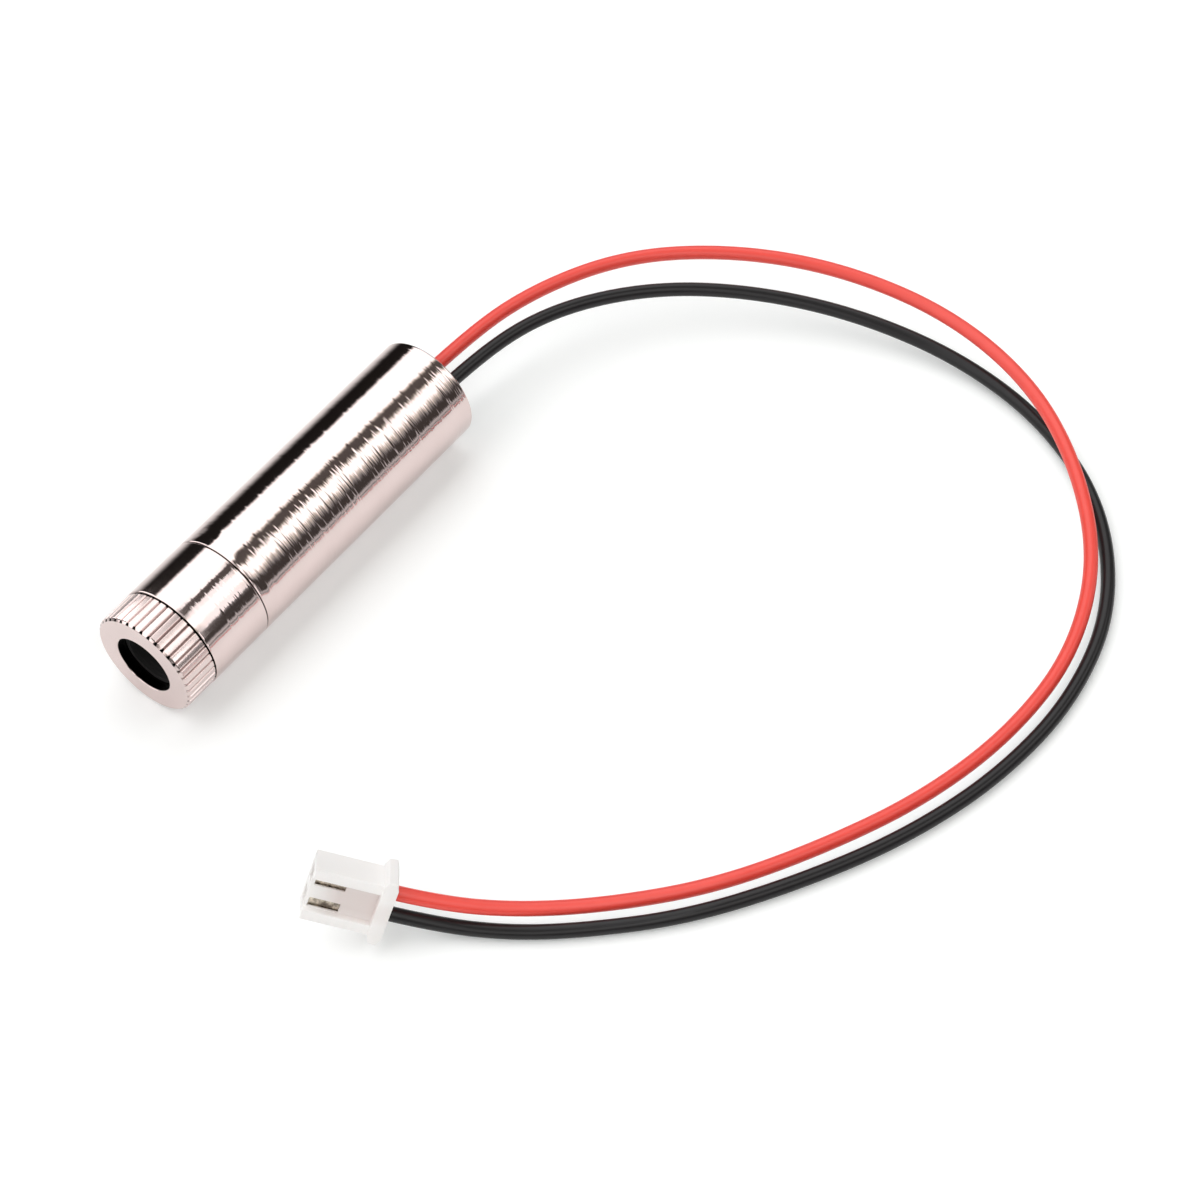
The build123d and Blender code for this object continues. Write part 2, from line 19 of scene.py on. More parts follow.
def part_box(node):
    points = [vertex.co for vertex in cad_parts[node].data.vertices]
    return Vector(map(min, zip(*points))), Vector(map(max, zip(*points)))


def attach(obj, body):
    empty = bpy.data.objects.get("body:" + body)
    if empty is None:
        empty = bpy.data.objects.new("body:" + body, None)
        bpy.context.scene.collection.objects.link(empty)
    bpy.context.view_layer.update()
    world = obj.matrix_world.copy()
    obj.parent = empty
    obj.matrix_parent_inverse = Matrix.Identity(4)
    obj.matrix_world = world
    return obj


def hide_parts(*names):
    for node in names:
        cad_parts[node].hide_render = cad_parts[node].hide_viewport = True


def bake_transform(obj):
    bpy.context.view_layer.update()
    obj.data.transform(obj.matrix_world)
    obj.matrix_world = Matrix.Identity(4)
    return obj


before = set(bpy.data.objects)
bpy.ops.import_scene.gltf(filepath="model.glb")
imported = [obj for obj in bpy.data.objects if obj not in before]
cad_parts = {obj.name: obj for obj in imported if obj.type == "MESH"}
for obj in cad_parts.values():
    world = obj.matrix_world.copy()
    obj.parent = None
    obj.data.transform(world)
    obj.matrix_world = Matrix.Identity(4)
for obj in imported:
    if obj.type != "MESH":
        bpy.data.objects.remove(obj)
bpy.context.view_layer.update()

MM = 0.001
FRONT_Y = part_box("focus_ring")[0].y


def stations(node):
    """Where a CAD node begins and ends along the barrel, as distances behind the ring's front face."""
    low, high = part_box(node)
    return low.y - FRONT_Y, high.y - FRONT_Y


def half_width(node):
    """Half of a CAD node's width, which is the outer radius of a round one."""
    low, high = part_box(node)
    return (high.x - low.x) / 2


BARREL_R = half_width("rear_housing")
AXIS_Z = sum(corner.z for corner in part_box("rear_housing")) / 2
tube_front, tube_back = stations("rear_housing")
print("barrel radius", round(BARREL_R / MM, 3), "mm, front face at y", round(FRONT_Y / MM, 3), "mm")

# %% [markdown]
# ## Camera
#
# The camera was found by fitting the barrel's two end circles and the thickness of the wires in the photograph.
# It looks down at 54 degrees with a long lens, so the barrel hardly narrows towards its far end. A camera's
# rotation is a matrix whose columns are its right, its up and the reverse of its aim.

# %% Camera
CAMERA_PLACE = Vector((147.867, -142.726, 271.756)) * MM
CAMERA_RIGHT = Vector((0.79635, 0.60484, 0.0))
CAMERA_AIM = Vector((-0.35586, 0.46854, -0.80860))
CAMERA_LENS = 99.0
SENSOR_WIDTH = 36.0
NEAREST, FARTHEST = 0.01, 10.0


def put(name, data):
    """An object at the origin that holds the data of a camera or a mesh, linked to the scene."""
    made = bpy.data.objects.new(name, data)
    bpy.context.scene.collection.objects.link(made)
    return made


camera_data = bpy.data.cameras.new("photo_camera")
camera_data.lens = CAMERA_LENS
camera_data.sensor_width = SENSOR_WIDTH
camera_data.clip_start = NEAREST
camera_data.clip_end = FARTHEST
camera = put("photo_camera", camera_data)
camera_turn = Matrix((CAMERA_RIGHT, CAMERA_RIGHT.cross(CAMERA_AIM), -CAMERA_AIM)).transposed()
camera.matrix_world = Matrix.Translation(CAMERA_PLACE) @ camera_turn.to_4x4()
bpy.context.scene.camera = camera
print("camera elevation", round(math.degrees(math.asin(-CAMERA_AIM.z)), 1), "degrees")

# %% [markdown]
# ## Surfaces from numbers
#
# A turned piece is a closed outline, drawn as distance from the front face against radius, and carried round
# the barrel's axis. Both ways of the grid close on themselves, or its ends shrink to poles, so the surface is
# watertight. The pieces below share five helpers: one joins a grid of points with faces, one rounds the corners
# of an outline, one carries an outline round, one ties a piece to the CAD model, and one puts a surface into the
# scene.

# %% Helpers for surfaces
SHARP = math.radians(38)
WELD = 1e-8
CORNER_STEPS = 6
FLAT_SUPPORT = 0.02 * MM


def grid_faces(rows, columns, closed=True):
    """Four-cornered faces of a grid: each joins a point to the next in its row and in its column.
    The columns always go round. The last row joins the first one too if the outline is closed."""
    row, column = np.meshgrid(np.arange(rows if closed else rows - 1), np.arange(columns), indexing="ij")
    next_row, next_column = (row + 1) % rows, (column + 1) % columns
    corners = (row, column), (row, next_column), (next_row, next_column), (next_row, column)
    return np.stack([r * columns + c for r, c in corners], axis=-1).reshape(-1, 4)


def soften(outline, radius, steps=CORNER_STEPS):
    """Round each corner of a closed outline.
    A corner becomes the curve (1-t)^2 a + 2t(1-t) c + t^2 b, where c is the corner, and a and b lie on its two
    sides at the given radius. One more point just outside a and b keeps the flats flat under smooth shading."""
    corner = np.asarray(outline, float)
    reach = np.broadcast_to(np.asarray(radius, float), len(corner))[:, None]
    before = np.roll(corner, 1, axis=0) - corner
    after = np.roll(corner, -1, axis=0) - corner
    before /= np.linalg.norm(before, axis=1, keepdims=True)
    after /= np.linalg.norm(after, axis=1, keepdims=True)
    t = np.linspace(0, 1, steps)[:, None, None]
    start, end = corner + before * reach, corner + after * reach
    bend = (1 - t) ** 2 * start + 2 * t * (1 - t) * corner + t**2 * end
    rows = np.concatenate([[start + before * FLAT_SUPPORT], bend, [end + after * FLAT_SUPPORT]])
    return rows.transpose(1, 0, 2).reshape(-1, 2)


def turn_round(outline, columns, reshape=None, closed=True):
    """Carry an outline round the barrel's axis.
    A point at distance s and radius r goes to x = r sin(a), y = front + s, z = axis + r cos(a), for every angle
    a. Reshape may change the radius for each place and angle, which makes flutes and threads. An outline that
    begins and ends on the axis isn't closed."""
    s, r = np.asarray(outline, float).T[:, :, None]
    angle = np.linspace(0, 2 * np.pi, columns, endpoint=False)[None, :]
    r = np.broadcast_to(r, (len(s), columns)) if reshape is None else reshape(s, r, angle)
    y = np.broadcast_to(FRONT_Y + s, r.shape)
    points = np.stack([r * np.sin(angle), y, AXIS_Z + r * np.cos(angle)], axis=-1)
    return points.reshape(-1, 3), grid_faces(len(s), columns, closed)


def stand_for(piece, body, nodes):
    """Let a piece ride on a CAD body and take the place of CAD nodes.
    A piece that is to bend between two bodies is given no body here."""
    if body:
        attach(piece, body)
    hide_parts(*nodes)


def show(name, points, faces, body, nodes, slot):
    """Put a surface into the scene on a CAD body, in place of the named CAD nodes.
    The signed volume, a sixth of the sum of a . (b x c) over the triangles, says whether its faces point
    outwards; they are turned round if not. Points in one place are welded, which closes seams and poles."""
    a, b, c, d = np.moveaxis(points[faces], 1, 0)
    volume = np.einsum("ij,ij->", a, np.cross(b, c)) + np.einsum("ij,ij->", a, np.cross(c, d))
    mesh = bpy.data.meshes.new(name)
    mesh.from_pydata(points.tolist(), [], (faces if volume > 0 else faces[:, ::-1]).tolist())
    welded = bmesh.new()
    welded.from_mesh(mesh)
    bmesh.ops.remove_doubles(welded, verts=welded.verts, dist=WELD)
    bmesh.ops.dissolve_degenerate(welded, edges=welded.edges, dist=WELD)
    welded.to_mesh(mesh)
    welded.free()
    mesh.polygons.foreach_set("use_smooth", np.ones(len(mesh.polygons), bool))
    mesh.set_sharp_from_angle(angle=SHARP)
    piece = put(name, mesh)
    stand_for(piece, body, nodes)
    print(name, "has", len(mesh.polygons), "faces and", round(abs(volume) / 6 / MM**3, 2), "cubic mm")
    return piece


print("a closed grid of 3 rows and 4 columns has", len(grid_faces(3, 4)), "faces")

# %% [markdown]
# ## The two wires
#
# Each wire is a soft PVC lead, 1.5 mm thick, that leaves the back of the barrel straight, sinks to the table in
# one wide turn and climbs a little into the plug. A NURBS curve suits its line, because it passes smoothly near its
# handles. They are the points of the CAD model's route, moved by half a millimetre at most to follow the photograph.
# The red wire lies over the black one where they cross in the turn, so it has two points there at the height of its
# hump. The curve could carry its own thickness, but a bare curve that is read back as points and swept with numpy
# gives a mesh whose box is exact.

# %% Routes of the wires
WIRE_DIAMETER = 1.5 * MM
RED_ROUTE = [
    (-1.3, 18.475, 6.0), (-1.3, 28.5, 6.0), (0.2, 39.1, 5.9), (5.2, 49.9, 5.6), (14.0, 58.0, 5.1),
    (24.7, 63.2, 4.6), (37.0, 65.2, 4.0), (48.7, 62.9, 3.5), (58.4, 56.6, 3.5), (66.4, 48.2, 2.2),
    (70.5, 37.6, 1.0), (70.7, 26.0, 0.75), (68.2, 14.6, 0.75), (63.6, 4.1, 0.75), (57.9, -5.8, 0.75),
    (51.3, -13.6, 1.0), (45.2, -19.8, 2.0), (39.29, -24.57, 3.51), (34.78, -27.39, 5.24),
]
BLACK_ROUTE = [
    (1.3, 18.475, 6.0), (1.3, 28.0, 6.0), (3.3, 38.5, 5.6), (9.4, 48.1, 4.8), (18.0, 55.3, 3.7),
    (28.6, 60.4, 2.5), (40.4, 62.8, 1.3), (52.3, 61.2, 0.75), (63.0, 55.1, 0.75), (70.6, 44.8, 0.75),
    (73.4, 32.9, 0.75), (72.6, 21.1, 0.75), (69.3, 9.9, 0.75), (64.1, -0.5, 0.75), (57.8, -10.2, 0.75),
    (50.8, -17.4, 0.75), (45.2, -22.0, 0.75), (39.21, -25.77, 1.32), (34.69, -28.59, 3.05),
]
print("handles of the red and the black wire:", len(RED_ROUTE), "and", len(BLACK_ROUTE))

# %% Wires
SPLINE_STEPS = 16
SWEEP_COLUMNS = 28
UPRIGHT = (0.0, 0.0, 1.0)


def read_spline(route):
    """Points along a NURBS curve whose handles are the route in millimetres, read back from a bare curve."""
    curve = bpy.data.curves.new("wire_line", "CURVE")
    curve.dimensions = "3D"
    spline = curve.splines.new("NURBS")
    spline.points.add(len(route) - 1)
    handles = np.column_stack([np.array(route) * MM, np.ones(len(route))])
    spline.points.foreach_set("co", handles.astype(np.float32).ravel())
    spline.order_u = 3
    spline.use_endpoint_u = True
    spline.resolution_u = SPLINE_STEPS
    holder = bpy.data.objects.new("wire_line", curve)
    drawn = bpy.data.meshes.new_from_object(holder)
    points = np.empty(3 * len(drawn.vertices), np.float32)
    drawn.vertices.foreach_get("co", points)
    bpy.data.objects.remove(holder)
    bpy.data.meshes.remove(drawn)
    bpy.data.curves.remove(curve)
    return points.reshape(-1, 3).astype(float)


def sweep(line, radius, upright):
    """A round tube along a line of points.
    At each point t is the slope between its neighbours, u is the upright direction crossed with t, and v is t
    crossed with u, all one long. The skin is the point plus the radius times (u cos a + v sin a), for every angle
    a, and each end closes in a pole."""
    t = np.gradient(line, axis=0)
    t /= np.linalg.norm(t, axis=1, keepdims=True)
    u = np.cross(upright, t)
    u /= np.linalg.norm(u, axis=1, keepdims=True)
    v = np.cross(t, u)
    a = np.linspace(0, 2 * np.pi, SWEEP_COLUMNS, endpoint=False)[None, :, None]
    skin = line[:, None] + radius * (u[:, None] * np.cos(a) + v[:, None] * np.sin(a))
    poles = np.repeat(line[[0, -1], None], SWEEP_COLUMNS, axis=1)
    points = np.concatenate([poles[:1], skin, poles[1:]])
    return points.reshape(-1, 3), grid_faces(len(points), SWEEP_COLUMNS, closed=False)


red_line, black_line = read_spline(RED_ROUTE), read_spline(BLACK_ROUTE)
red_tube, black_tube = (sweep(line, WIRE_DIAMETER / 2, UPRIGHT) for line in (red_line, black_line))
red_lead = show("red_lead", *red_tube, "module", ["red_wire"], "red_pvc")
black_lead = show("black_lead", *black_tube, "module", ["black_wire"], "black_pvc")

# %% [markdown]
# ## Rear tube
#
# A plain tube with its ends just broken, so that no edge is sharp. Only its outline matters: two flats joined
# by small rounds. A lathe outline of four corners gives that, and 320 steps round keep its edge smooth up close.

# %% Rear tube
ROUND_STEPS = 320
TUBE_WALL = 0.8 * MM
EDGE_BREAK = 0.12 * MM
BACK_ROUND = 0.22 * MM
BORE_BREAK_FRONT, BORE_BREAK_BACK = 0.05 * MM, 0.08 * MM
bore_r = BARREL_R - TUBE_WALL
tube_outline = soften(
    [(tube_front, bore_r), (tube_front, BARREL_R), (tube_back, BARREL_R), (tube_back, bore_r)],
    [BORE_BREAK_FRONT, EDGE_BREAK, BACK_ROUND, BORE_BREAK_BACK],
)
rear_tube = show("rear_tube", *turn_round(tube_outline, ROUND_STEPS), "module", ["rear_housing"], "nickel")

# %% [markdown]
# ## Front housing and its inside thread
#
# The short barrel behind the ring carries the laser diode. The ring screws into its front, so the bore has a
# fine thread. A thread is a radius that rises and falls along the barrel and slips by one pitch in each turn:
# the wave's phase is s / pitch minus the angle in turns. It is cut into the wall and leaves the clear bore as it
# is. A Screw modifier could wind a thread too, but it would be a second mesh that has to be joined to the bore.

# %% Thread
THREAD_PITCH = 0.5 * MM
THREAD_DEPTH = 0.25 * MM
THREAD_OVERDRAW = 1.25
ROWS_PER_PITCH = 8
SAME = 1e-9


def ridge(s, angle):
    """Height of a right-hand thread from 0 at its root to 1 at its crest.
    It is a triangle wave of the phase, drawn a quarter too tall and cut off at 1, so its crests are flat."""
    phase = (s / THREAD_PITCH - angle / (2 * np.pi)) % 1.0
    return np.clip(THREAD_OVERDRAW * (1 - np.abs(2 * phase - 1)), 0, 1)


def along(start, end, radius):
    """Rows of an outline close enough together along the barrel to hold the thread."""
    count = max(2, int(round(abs(end - start) / THREAD_PITCH * ROWS_PER_PITCH)))
    return np.column_stack([np.linspace(start, end, count), np.full(count, radius)])


print("thread of", round(THREAD_PITCH / MM, 2), "mm pitch,", round(THREAD_DEPTH / MM, 2), "mm deep")

# %% Front housing
THREAD_BORE_R = 4.55 * MM
CHAMBER_R = 3.7 * MM
CAN_HOLE_R = 1.925 * MM
HEADER_R = 2.8 * MM
LEAD_ROOM_R = 3.4 * MM
SEAM_GAP = 0.10 * MM
INNER_ROUND = 0.04 * MM
THREAD_RUNOUT = 0.5 * MM
THREAD_MARGIN_FRONT, THREAD_MARGIN_BACK = 0.3 * MM, 0.2 * MM
housing_front, housing_back = stations("front_housing")
header_front, header_back = stations("diode_base")
spring_end, shank_end = stations("focus_spring")[1], stations("focus_ring")[1]
thread_end = shank_end + THREAD_RUNOUT
skin_end = tube_front - SEAM_GAP
housing_corners = np.array([
    (thread_end, THREAD_BORE_R), (thread_end, CHAMBER_R), (spring_end, CHAMBER_R), (spring_end, CAN_HOLE_R),
    (header_front, CAN_HOLE_R), (header_front, HEADER_R), (header_back, HEADER_R), (header_back, LEAD_ROOM_R),
    (housing_back, LEAD_ROOM_R), (housing_back, bore_r), (skin_end, bore_r), (skin_end, BARREL_R),
    (housing_front, BARREL_R), (housing_front, THREAD_BORE_R),
])
corner_rounds = np.where(housing_corners[:, 1] == BARREL_R, EDGE_BREAK, INNER_ROUND)
thread_rows = along(housing_front + THREAD_MARGIN_FRONT, thread_end - THREAD_MARGIN_BACK, THREAD_BORE_R)
housing_outline = np.concatenate([soften(housing_corners, corner_rounds), thread_rows])


def cut_inside_thread(s, r, angle):
    """Radius of the housing's bore: the root of the thread lies deeper in the wall, and its ends fade out."""
    inside = (np.abs(r - THREAD_BORE_R) < SAME) & (s > thread_rows[0, 0]) & (s < thread_rows[-1, 0])
    return r + inside * THREAD_DEPTH * (1 - ridge(s, angle))


housing_surface = turn_round(housing_outline, ROUND_STEPS, cut_inside_thread)
front_barrel = show("front_barrel", *housing_surface, "module", ["front_housing"], "nickel")

# %% [markdown]
# ## Focus ring
#
# The ring's outside is a straight knurl: forty narrow flutes from end to end, with flat teeth between them, and a
# chamfer that runs down to the flutes' bottoms at the front face. Cutting flutes one by one with booleans would be
# slow and rough. Here the radius of each point is the smaller of the plain outline and the fluted one, so every
# tooth ends in a rounded tip, as on the real ring.

# %% Focus ring
FLUTES = 40
STEPS_PER_FLUTE = 30
FLUTE_HALF_WIDTH = 0.115 * MM
FLUTE_DEPTH = 0.27 * MM
TOOTH_DROP = 0.06 * MM
TOOTH_TOP_R = BARREL_R - TOOTH_DROP
LAND_HALF_WIDTH = 0.26 * MM
SHOULDER_R = 0.07 * MM
RING_LENGTH = 3.94 * MM
RING_CHAMFER = 0.27 * MM
MOUTH_CHAMFER = 0.1 * MM
APERTURE_R = 3.35 * MM
CELL_SEAT_R = 3.6 * MM
SEAT_DEPTH = 1.2 * MM
COLLAR_STEPS = 5


def knurl(s, r, angle):
    """Radius cut by the flutes, between teeth with flat lands and round shoulders.
    Across a flute the cut is half an ellipse of its width and depth. Past a land the tooth falls off as the square
    of the way past it over twice the shoulder's radius. A flat land is the tooth's top divided by the cosine."""
    turn = angle * FLUTES / (2 * np.pi)
    pitch = 2 * np.pi / FLUTES
    from_flute = (turn % 1.0 - 0.5) * pitch * TOOTH_TOP_R
    from_tooth = ((turn + 0.5) % 1.0 - 0.5) * pitch
    flute = FLUTE_DEPTH * np.sqrt(np.clip(1 - (from_flute / FLUTE_HALF_WIDTH) ** 2, 0, 1))
    past_land = np.clip(np.abs(from_tooth) * TOOTH_TOP_R - LAND_HALF_WIDTH, 0, None)
    return np.minimum(r, TOOTH_TOP_R / np.cos(from_tooth) - np.maximum(flute, past_land**2 / (2 * SHOULDER_R)))


collar_corners = [
    (0, APERTURE_R + MOUTH_CHAMFER), (0, TOOTH_TOP_R - RING_CHAMFER), (RING_CHAMFER, TOOTH_TOP_R),
    (RING_LENGTH, TOOTH_TOP_R), (RING_LENGTH, CELL_SEAT_R), (SEAT_DEPTH, CELL_SEAT_R), (SEAT_DEPTH, APERTURE_R),
    (MOUTH_CHAMFER, APERTURE_R),
]
collar_rounds = np.array([0.03, 0.05, 0.09, 0.06, 0.03, 0.03, 0.03, 0.03]) * MM
collar_outline = soften(collar_corners, collar_rounds, COLLAR_STEPS)
collar_surface = turn_round(collar_outline, FLUTES * STEPS_PER_FLUTE, knurl)
ring_collar = show("ring_collar", *collar_surface, "ring", ["focus_ring"], "nickel")

# %% [markdown]
# ## Screwed shank of the ring
#
# Behind the collar the ring is a thin tube with the outside thread. It only shows when the ring is unscrewed. It
# could be part of the collar's outline, but the collar needs many more steps round for its flutes than the shank
# does for its thread, so it is a piece of its own that reaches a little way into the collar.

# %% Ring shank
SHANK_COLUMNS = 192
SHANK_R = 4.5 * MM
SHANK_OVERLAP = 0.1 * MM
SHANK_NECK = 0.35 * MM
SHANK_TIP = 0.1 * MM
SHANK_ROUND = 0.05 * MM
shank_start, root_r = RING_LENGTH - SHANK_OVERLAP, SHANK_R - THREAD_DEPTH
shank_rows = along(RING_LENGTH + SHANK_NECK, shank_end - SHANK_TIP, SHANK_R)
shank_corners = [(shank_end, root_r), (shank_end, CELL_SEAT_R), (shank_start, CELL_SEAT_R)]
shank_outline = np.concatenate([[(shank_start, root_r)], shank_rows, soften(shank_corners, SHANK_ROUND)])


def raise_outside_thread(s, r, angle):
    """Radius of the shank: the crest of the thread is the shank's own radius, and its root lies below it."""
    outside = np.abs(r - SHANK_R) < SAME
    return r - outside * THREAD_DEPTH * (1 - ridge(s, angle))


shank_surface = turn_round(shank_outline, SHANK_COLUMNS, raise_outside_thread)
ring_shank = show("ring_shank", *shank_surface, "ring", ["focus_ring"], "nickel")

# %% [markdown]
# ## Lens cell
#
# The inside of the aperture is black: a moulded cell whose tapered mouth has fine steps that swallow stray light,
# with the lens behind. A bump in the material could hint at the steps, but they catch light as real edges do only
# when they are drawn into the outline.

# %% Lens cell
CELL_R = 3.55 * MM
CELL_MOUTH_R = 2.9 * MM
CELL_STOP_R = 2.5 * MM
CELL_POCKET_R = 3.0 * MM
CELL_STEPS = 9
CELL_COLUMNS = 160
CELL_ROUND = 0.02 * MM
STOP_DEPTH, STOP_WALL = 3.6 * MM, 0.4 * MM
cell_front, cell_back = stations("lens_cell")
stop_front = cell_front + STOP_DEPTH
stop_back = stop_front + STOP_WALL
step_s = np.linspace(cell_front, stop_front, CELL_STEPS + 1)
step_r = np.linspace(CELL_MOUTH_R, CELL_STOP_R, CELL_STEPS + 1)
steps_inwards = np.column_stack([np.repeat(step_s, 2)[1:-1], np.repeat(step_r, 2)[:-2]])
cell_corners = [(cell_back, CELL_R), (cell_front, CELL_R), *steps_inwards.tolist(), (stop_front, CELL_STOP_R)]
cell_corners += [(stop_back, CELL_STOP_R), (stop_back, CELL_POCKET_R), (cell_back, CELL_POCKET_R)]
cell_surface = turn_round(soften(cell_corners, CELL_ROUND), CELL_COLUMNS)
lens_barrel = show("lens_barrel", *cell_surface, "lens_carriage", ["lens_cell"], "cell_black")

# %% [markdown]
# ## Lens
#
# The lens is round on both faces, each a part of a sphere. A scaled ball would have a pointed rim, so the two faces
# are drawn as one outline that begins and ends on the axis, where the points are welded into poles.

# %% Lens
LENS_ROWS = 24
LENS_COLUMNS = 128
LENS_ROUNDNESS = 0.165
lens_front, lens_back = stations("collimating_lens")
lens_r = half_width("collimating_lens")
lens_sag = LENS_ROUNDNESS * lens_r
lens_curve = (lens_r**2 + lens_sag**2) / (2 * lens_sag)
out = np.linspace(0, lens_r, LENS_ROWS)
sag = lens_curve - np.sqrt(lens_curve**2 - out**2)
lens_outline = np.concatenate([
    np.column_stack([lens_front + sag, out]), np.column_stack([lens_back - sag, out])[::-1],
])
lens_surface = turn_round(lens_outline, LENS_COLUMNS, closed=False)
lens_glass = show("lens_glass", *lens_surface, "lens_carriage", ["collimating_lens"], "lens_glass")

# %% [markdown]
# ## Focus spring
#
# A steel spring presses the lens cell against the ring. Its line is a helix, and the tube of the wires serves again,
# with the barrel's axis in place of the upright direction. One end rests on the housing and the other on the cell,
# and the coil is given no body here.

# %% Focus spring
SPRING_WIRE = 0.4 * MM
SPRING_TURNS = 3.5
SPRING_ROWS = 170
ALONG_BARREL = (0.0, 1.0, 0.0)
spring_low, spring_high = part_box("focus_spring")
spring_r = half_width("focus_spring") - SPRING_WIRE / 2


def wind(start, end, radius, turns, rows):
    """A helix round the barrel's axis: x = r cos(a), z = axis + r sin(a), and y goes evenly from start to end."""
    a = np.linspace(0, 2 * np.pi * turns, rows)
    return np.stack([radius * np.cos(a), np.linspace(start, end, rows), AXIS_Z + radius * np.sin(a)], axis=-1)


coil_front, coil_back = spring_low.y + SPRING_WIRE / 2, spring_high.y - SPRING_WIRE / 2
spring_line = wind(coil_front, coil_back, spring_r, SPRING_TURNS, SPRING_ROWS)
spring_tube = sweep(spring_line, SPRING_WIRE / 2, ALONG_BARREL)
lens_spring = show("lens_spring", *spring_tube, None, ["focus_spring"], "spring_steel")
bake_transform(lens_spring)

# %% [markdown]
# ## Potting at the back
#
# The tube is closed with cast resin round the two wires. Before it set, it crept up the wall and up each wire, so
# its face is a shallow dish with a raised edge. A flat disc would look like a lid. The face here is a disc in polar
# form, whose height is a sum of small rising curves, each fading with the distance from the wall or from a wire.

# %% Potting
SEAL_RISE = 0.25 * MM
CREEP = 0.35 * MM
WIRE_X = 1.3 * MM
SEAL_ROWS = 48
SEAL_COLUMNS = 128
seal_front, seal_back = stations("rear_seal")
seal_r = half_width("rear_seal")
disc_r = seal_r * np.sqrt(np.linspace(0, 1, SEAL_ROWS))
seal_outline = np.concatenate([
    np.column_stack([np.full(SEAL_ROWS, seal_back), disc_r]),
    np.column_stack([np.full(SEAL_ROWS, seal_front), disc_r])[::-1],
])
seal_points, seal_faces = turn_round(seal_outline, SEAL_COLUMNS, closed=False)
on_face = seal_points[:, 1] > FRONT_Y + seal_back - SAME
from_axis = np.hypot(seal_points[:, 0], seal_points[:, 2] - AXIS_Z)
from_wires = np.hypot(np.abs(seal_points[:, 0]) - WIRE_X, seal_points[:, 2] - AXIS_Z) - WIRE_DIAMETER / 2
creep = np.exp(-(seal_r - from_axis) / CREEP) + np.exp(-np.clip(from_wires, 0, None) / CREEP)
seal_points[:, 1] += on_face * SEAL_RISE * (np.clip(creep, 0, 1) - 1)
rear_potting = show("rear_potting", seal_points, seal_faces, "module", ["rear_seal"], "potting")

# %% [markdown]
# ## Plug
#
# The plug is a moulding: every edge has a small round and the faces are flat. Its outline is already in the CAD
# solid, so the scene takes a copy of that solid's mesh, welds its loose triangles, joins the flat ones into whole
# faces and lets a Bevel round the edges. Rebuilding the cavities by hand would only repeat the same numbers.

# %% Plug
FLAT = math.radians(1)
BEVEL_ABOVE = math.radians(40)
BEVEL_SEGMENTS = 3
TRIANGLE_WELD = 0.002 * MM
MOULD_ROUND = 0.14 * MM
TERMINAL_ROUND = 0.05 * MM


def rounded_copy(name, node, radius):
    """A copy of a CAD node whose triangles are welded and joined where flat, with its edges rounded."""
    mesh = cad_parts[node].data.copy()
    mesh.name = name
    mesh.materials.clear()
    welded = bmesh.new()
    welded.from_mesh(mesh)
    bmesh.ops.remove_doubles(welded, verts=welded.verts, dist=TRIANGLE_WELD)
    bmesh.ops.dissolve_limit(welded, angle_limit=FLAT, verts=welded.verts, edges=welded.edges)
    welded.to_mesh(mesh)
    welded.free()
    mesh.polygons.foreach_set("use_smooth", np.ones(len(mesh.polygons), bool))
    piece = put(name, mesh)
    bevel = piece.modifiers.new("moulded_edges", "BEVEL")
    bevel.width = radius
    bevel.segments = BEVEL_SEGMENTS
    bevel.limit_method = "ANGLE"
    bevel.angle_limit = BEVEL_ABOVE
    bevel.harden_normals = True
    stand_for(piece, "module", [node])
    print(name, "has", len(mesh.polygons), "flat faces before its edges are rounded")
    return piece


plug_shell = rounded_copy("plug_shell", "plug_housing", MOULD_ROUND)
plug_terminals = rounded_copy("plug_terminals", "plug_contacts", TERMINAL_ROUND)

# %% [markdown]
# ## Lengths of the wires
#
# A mesh doesn't say that it is a flexible lead of a certain length. The lengths here are those that the photograph
# shows from end to end, and the length of each swept wire is printed.

# %% Cords
RED_LENGTH = 0.193
BLACK_LENGTH = 0.192
LEADS = [(red_lead, RED_ROUTE, red_line, RED_LENGTH), (black_lead, BLACK_ROUTE, black_line, BLACK_LENGTH)]
for lead, route, line, length in LEADS:
    run = np.linalg.norm(np.diff(line, axis=0), axis=1).sum()
    print(lead.name, "is", round(run / MM, 1), "mm long")

# %% [markdown]
# ## Finishes: how the node helpers work
#
# A finish is a small graph of nodes that ends in the Principled shader. A few helpers keep the graphs readable: some
# start a material and lay it on pieces, one adds a node, sets its options and feeds its inputs, which may be numbers
# or the outputs of other nodes, and the others are short names for the nodes that come up most.

# %% Helpers that make materials and nodes


def feed(graph, node, inputs):
    """Set or link a node's inputs: a socket is linked, anything else becomes the input's value."""
    for key, value in inputs.items():
        if isinstance(value, bpy.types.NodeSocket):
            graph.links.new(value, node.inputs[key])
        else:
            node.inputs[key].default_value = value


def add(graph, kind, inputs=None, output=0, **options):
    """Add a node with options and inputs, and give one of its outputs."""
    node = graph.nodes.new(kind)
    for key, value in options.items():
        setattr(node, key, value)
    feed(graph, node, inputs or {})
    return node.outputs[output]


def new_graph(name):
    """A material whose graph holds only its output; gives the material, the graph and that output."""
    material = bpy.data.materials.new(name)
    material.use_nodes = True
    graph = material.node_tree
    graph.nodes.clear()
    return material, graph, graph.nodes.new("ShaderNodeOutputMaterial")


def new_finish(name):
    """A material that ends in a Principled shader; gives the material, the graph and that shader."""
    material, graph, output = new_graph(name)
    shader = graph.nodes.new("ShaderNodeBsdfPrincipled")
    feed(graph, output, {"Surface": shader.outputs["BSDF"]})
    return material, graph, shader


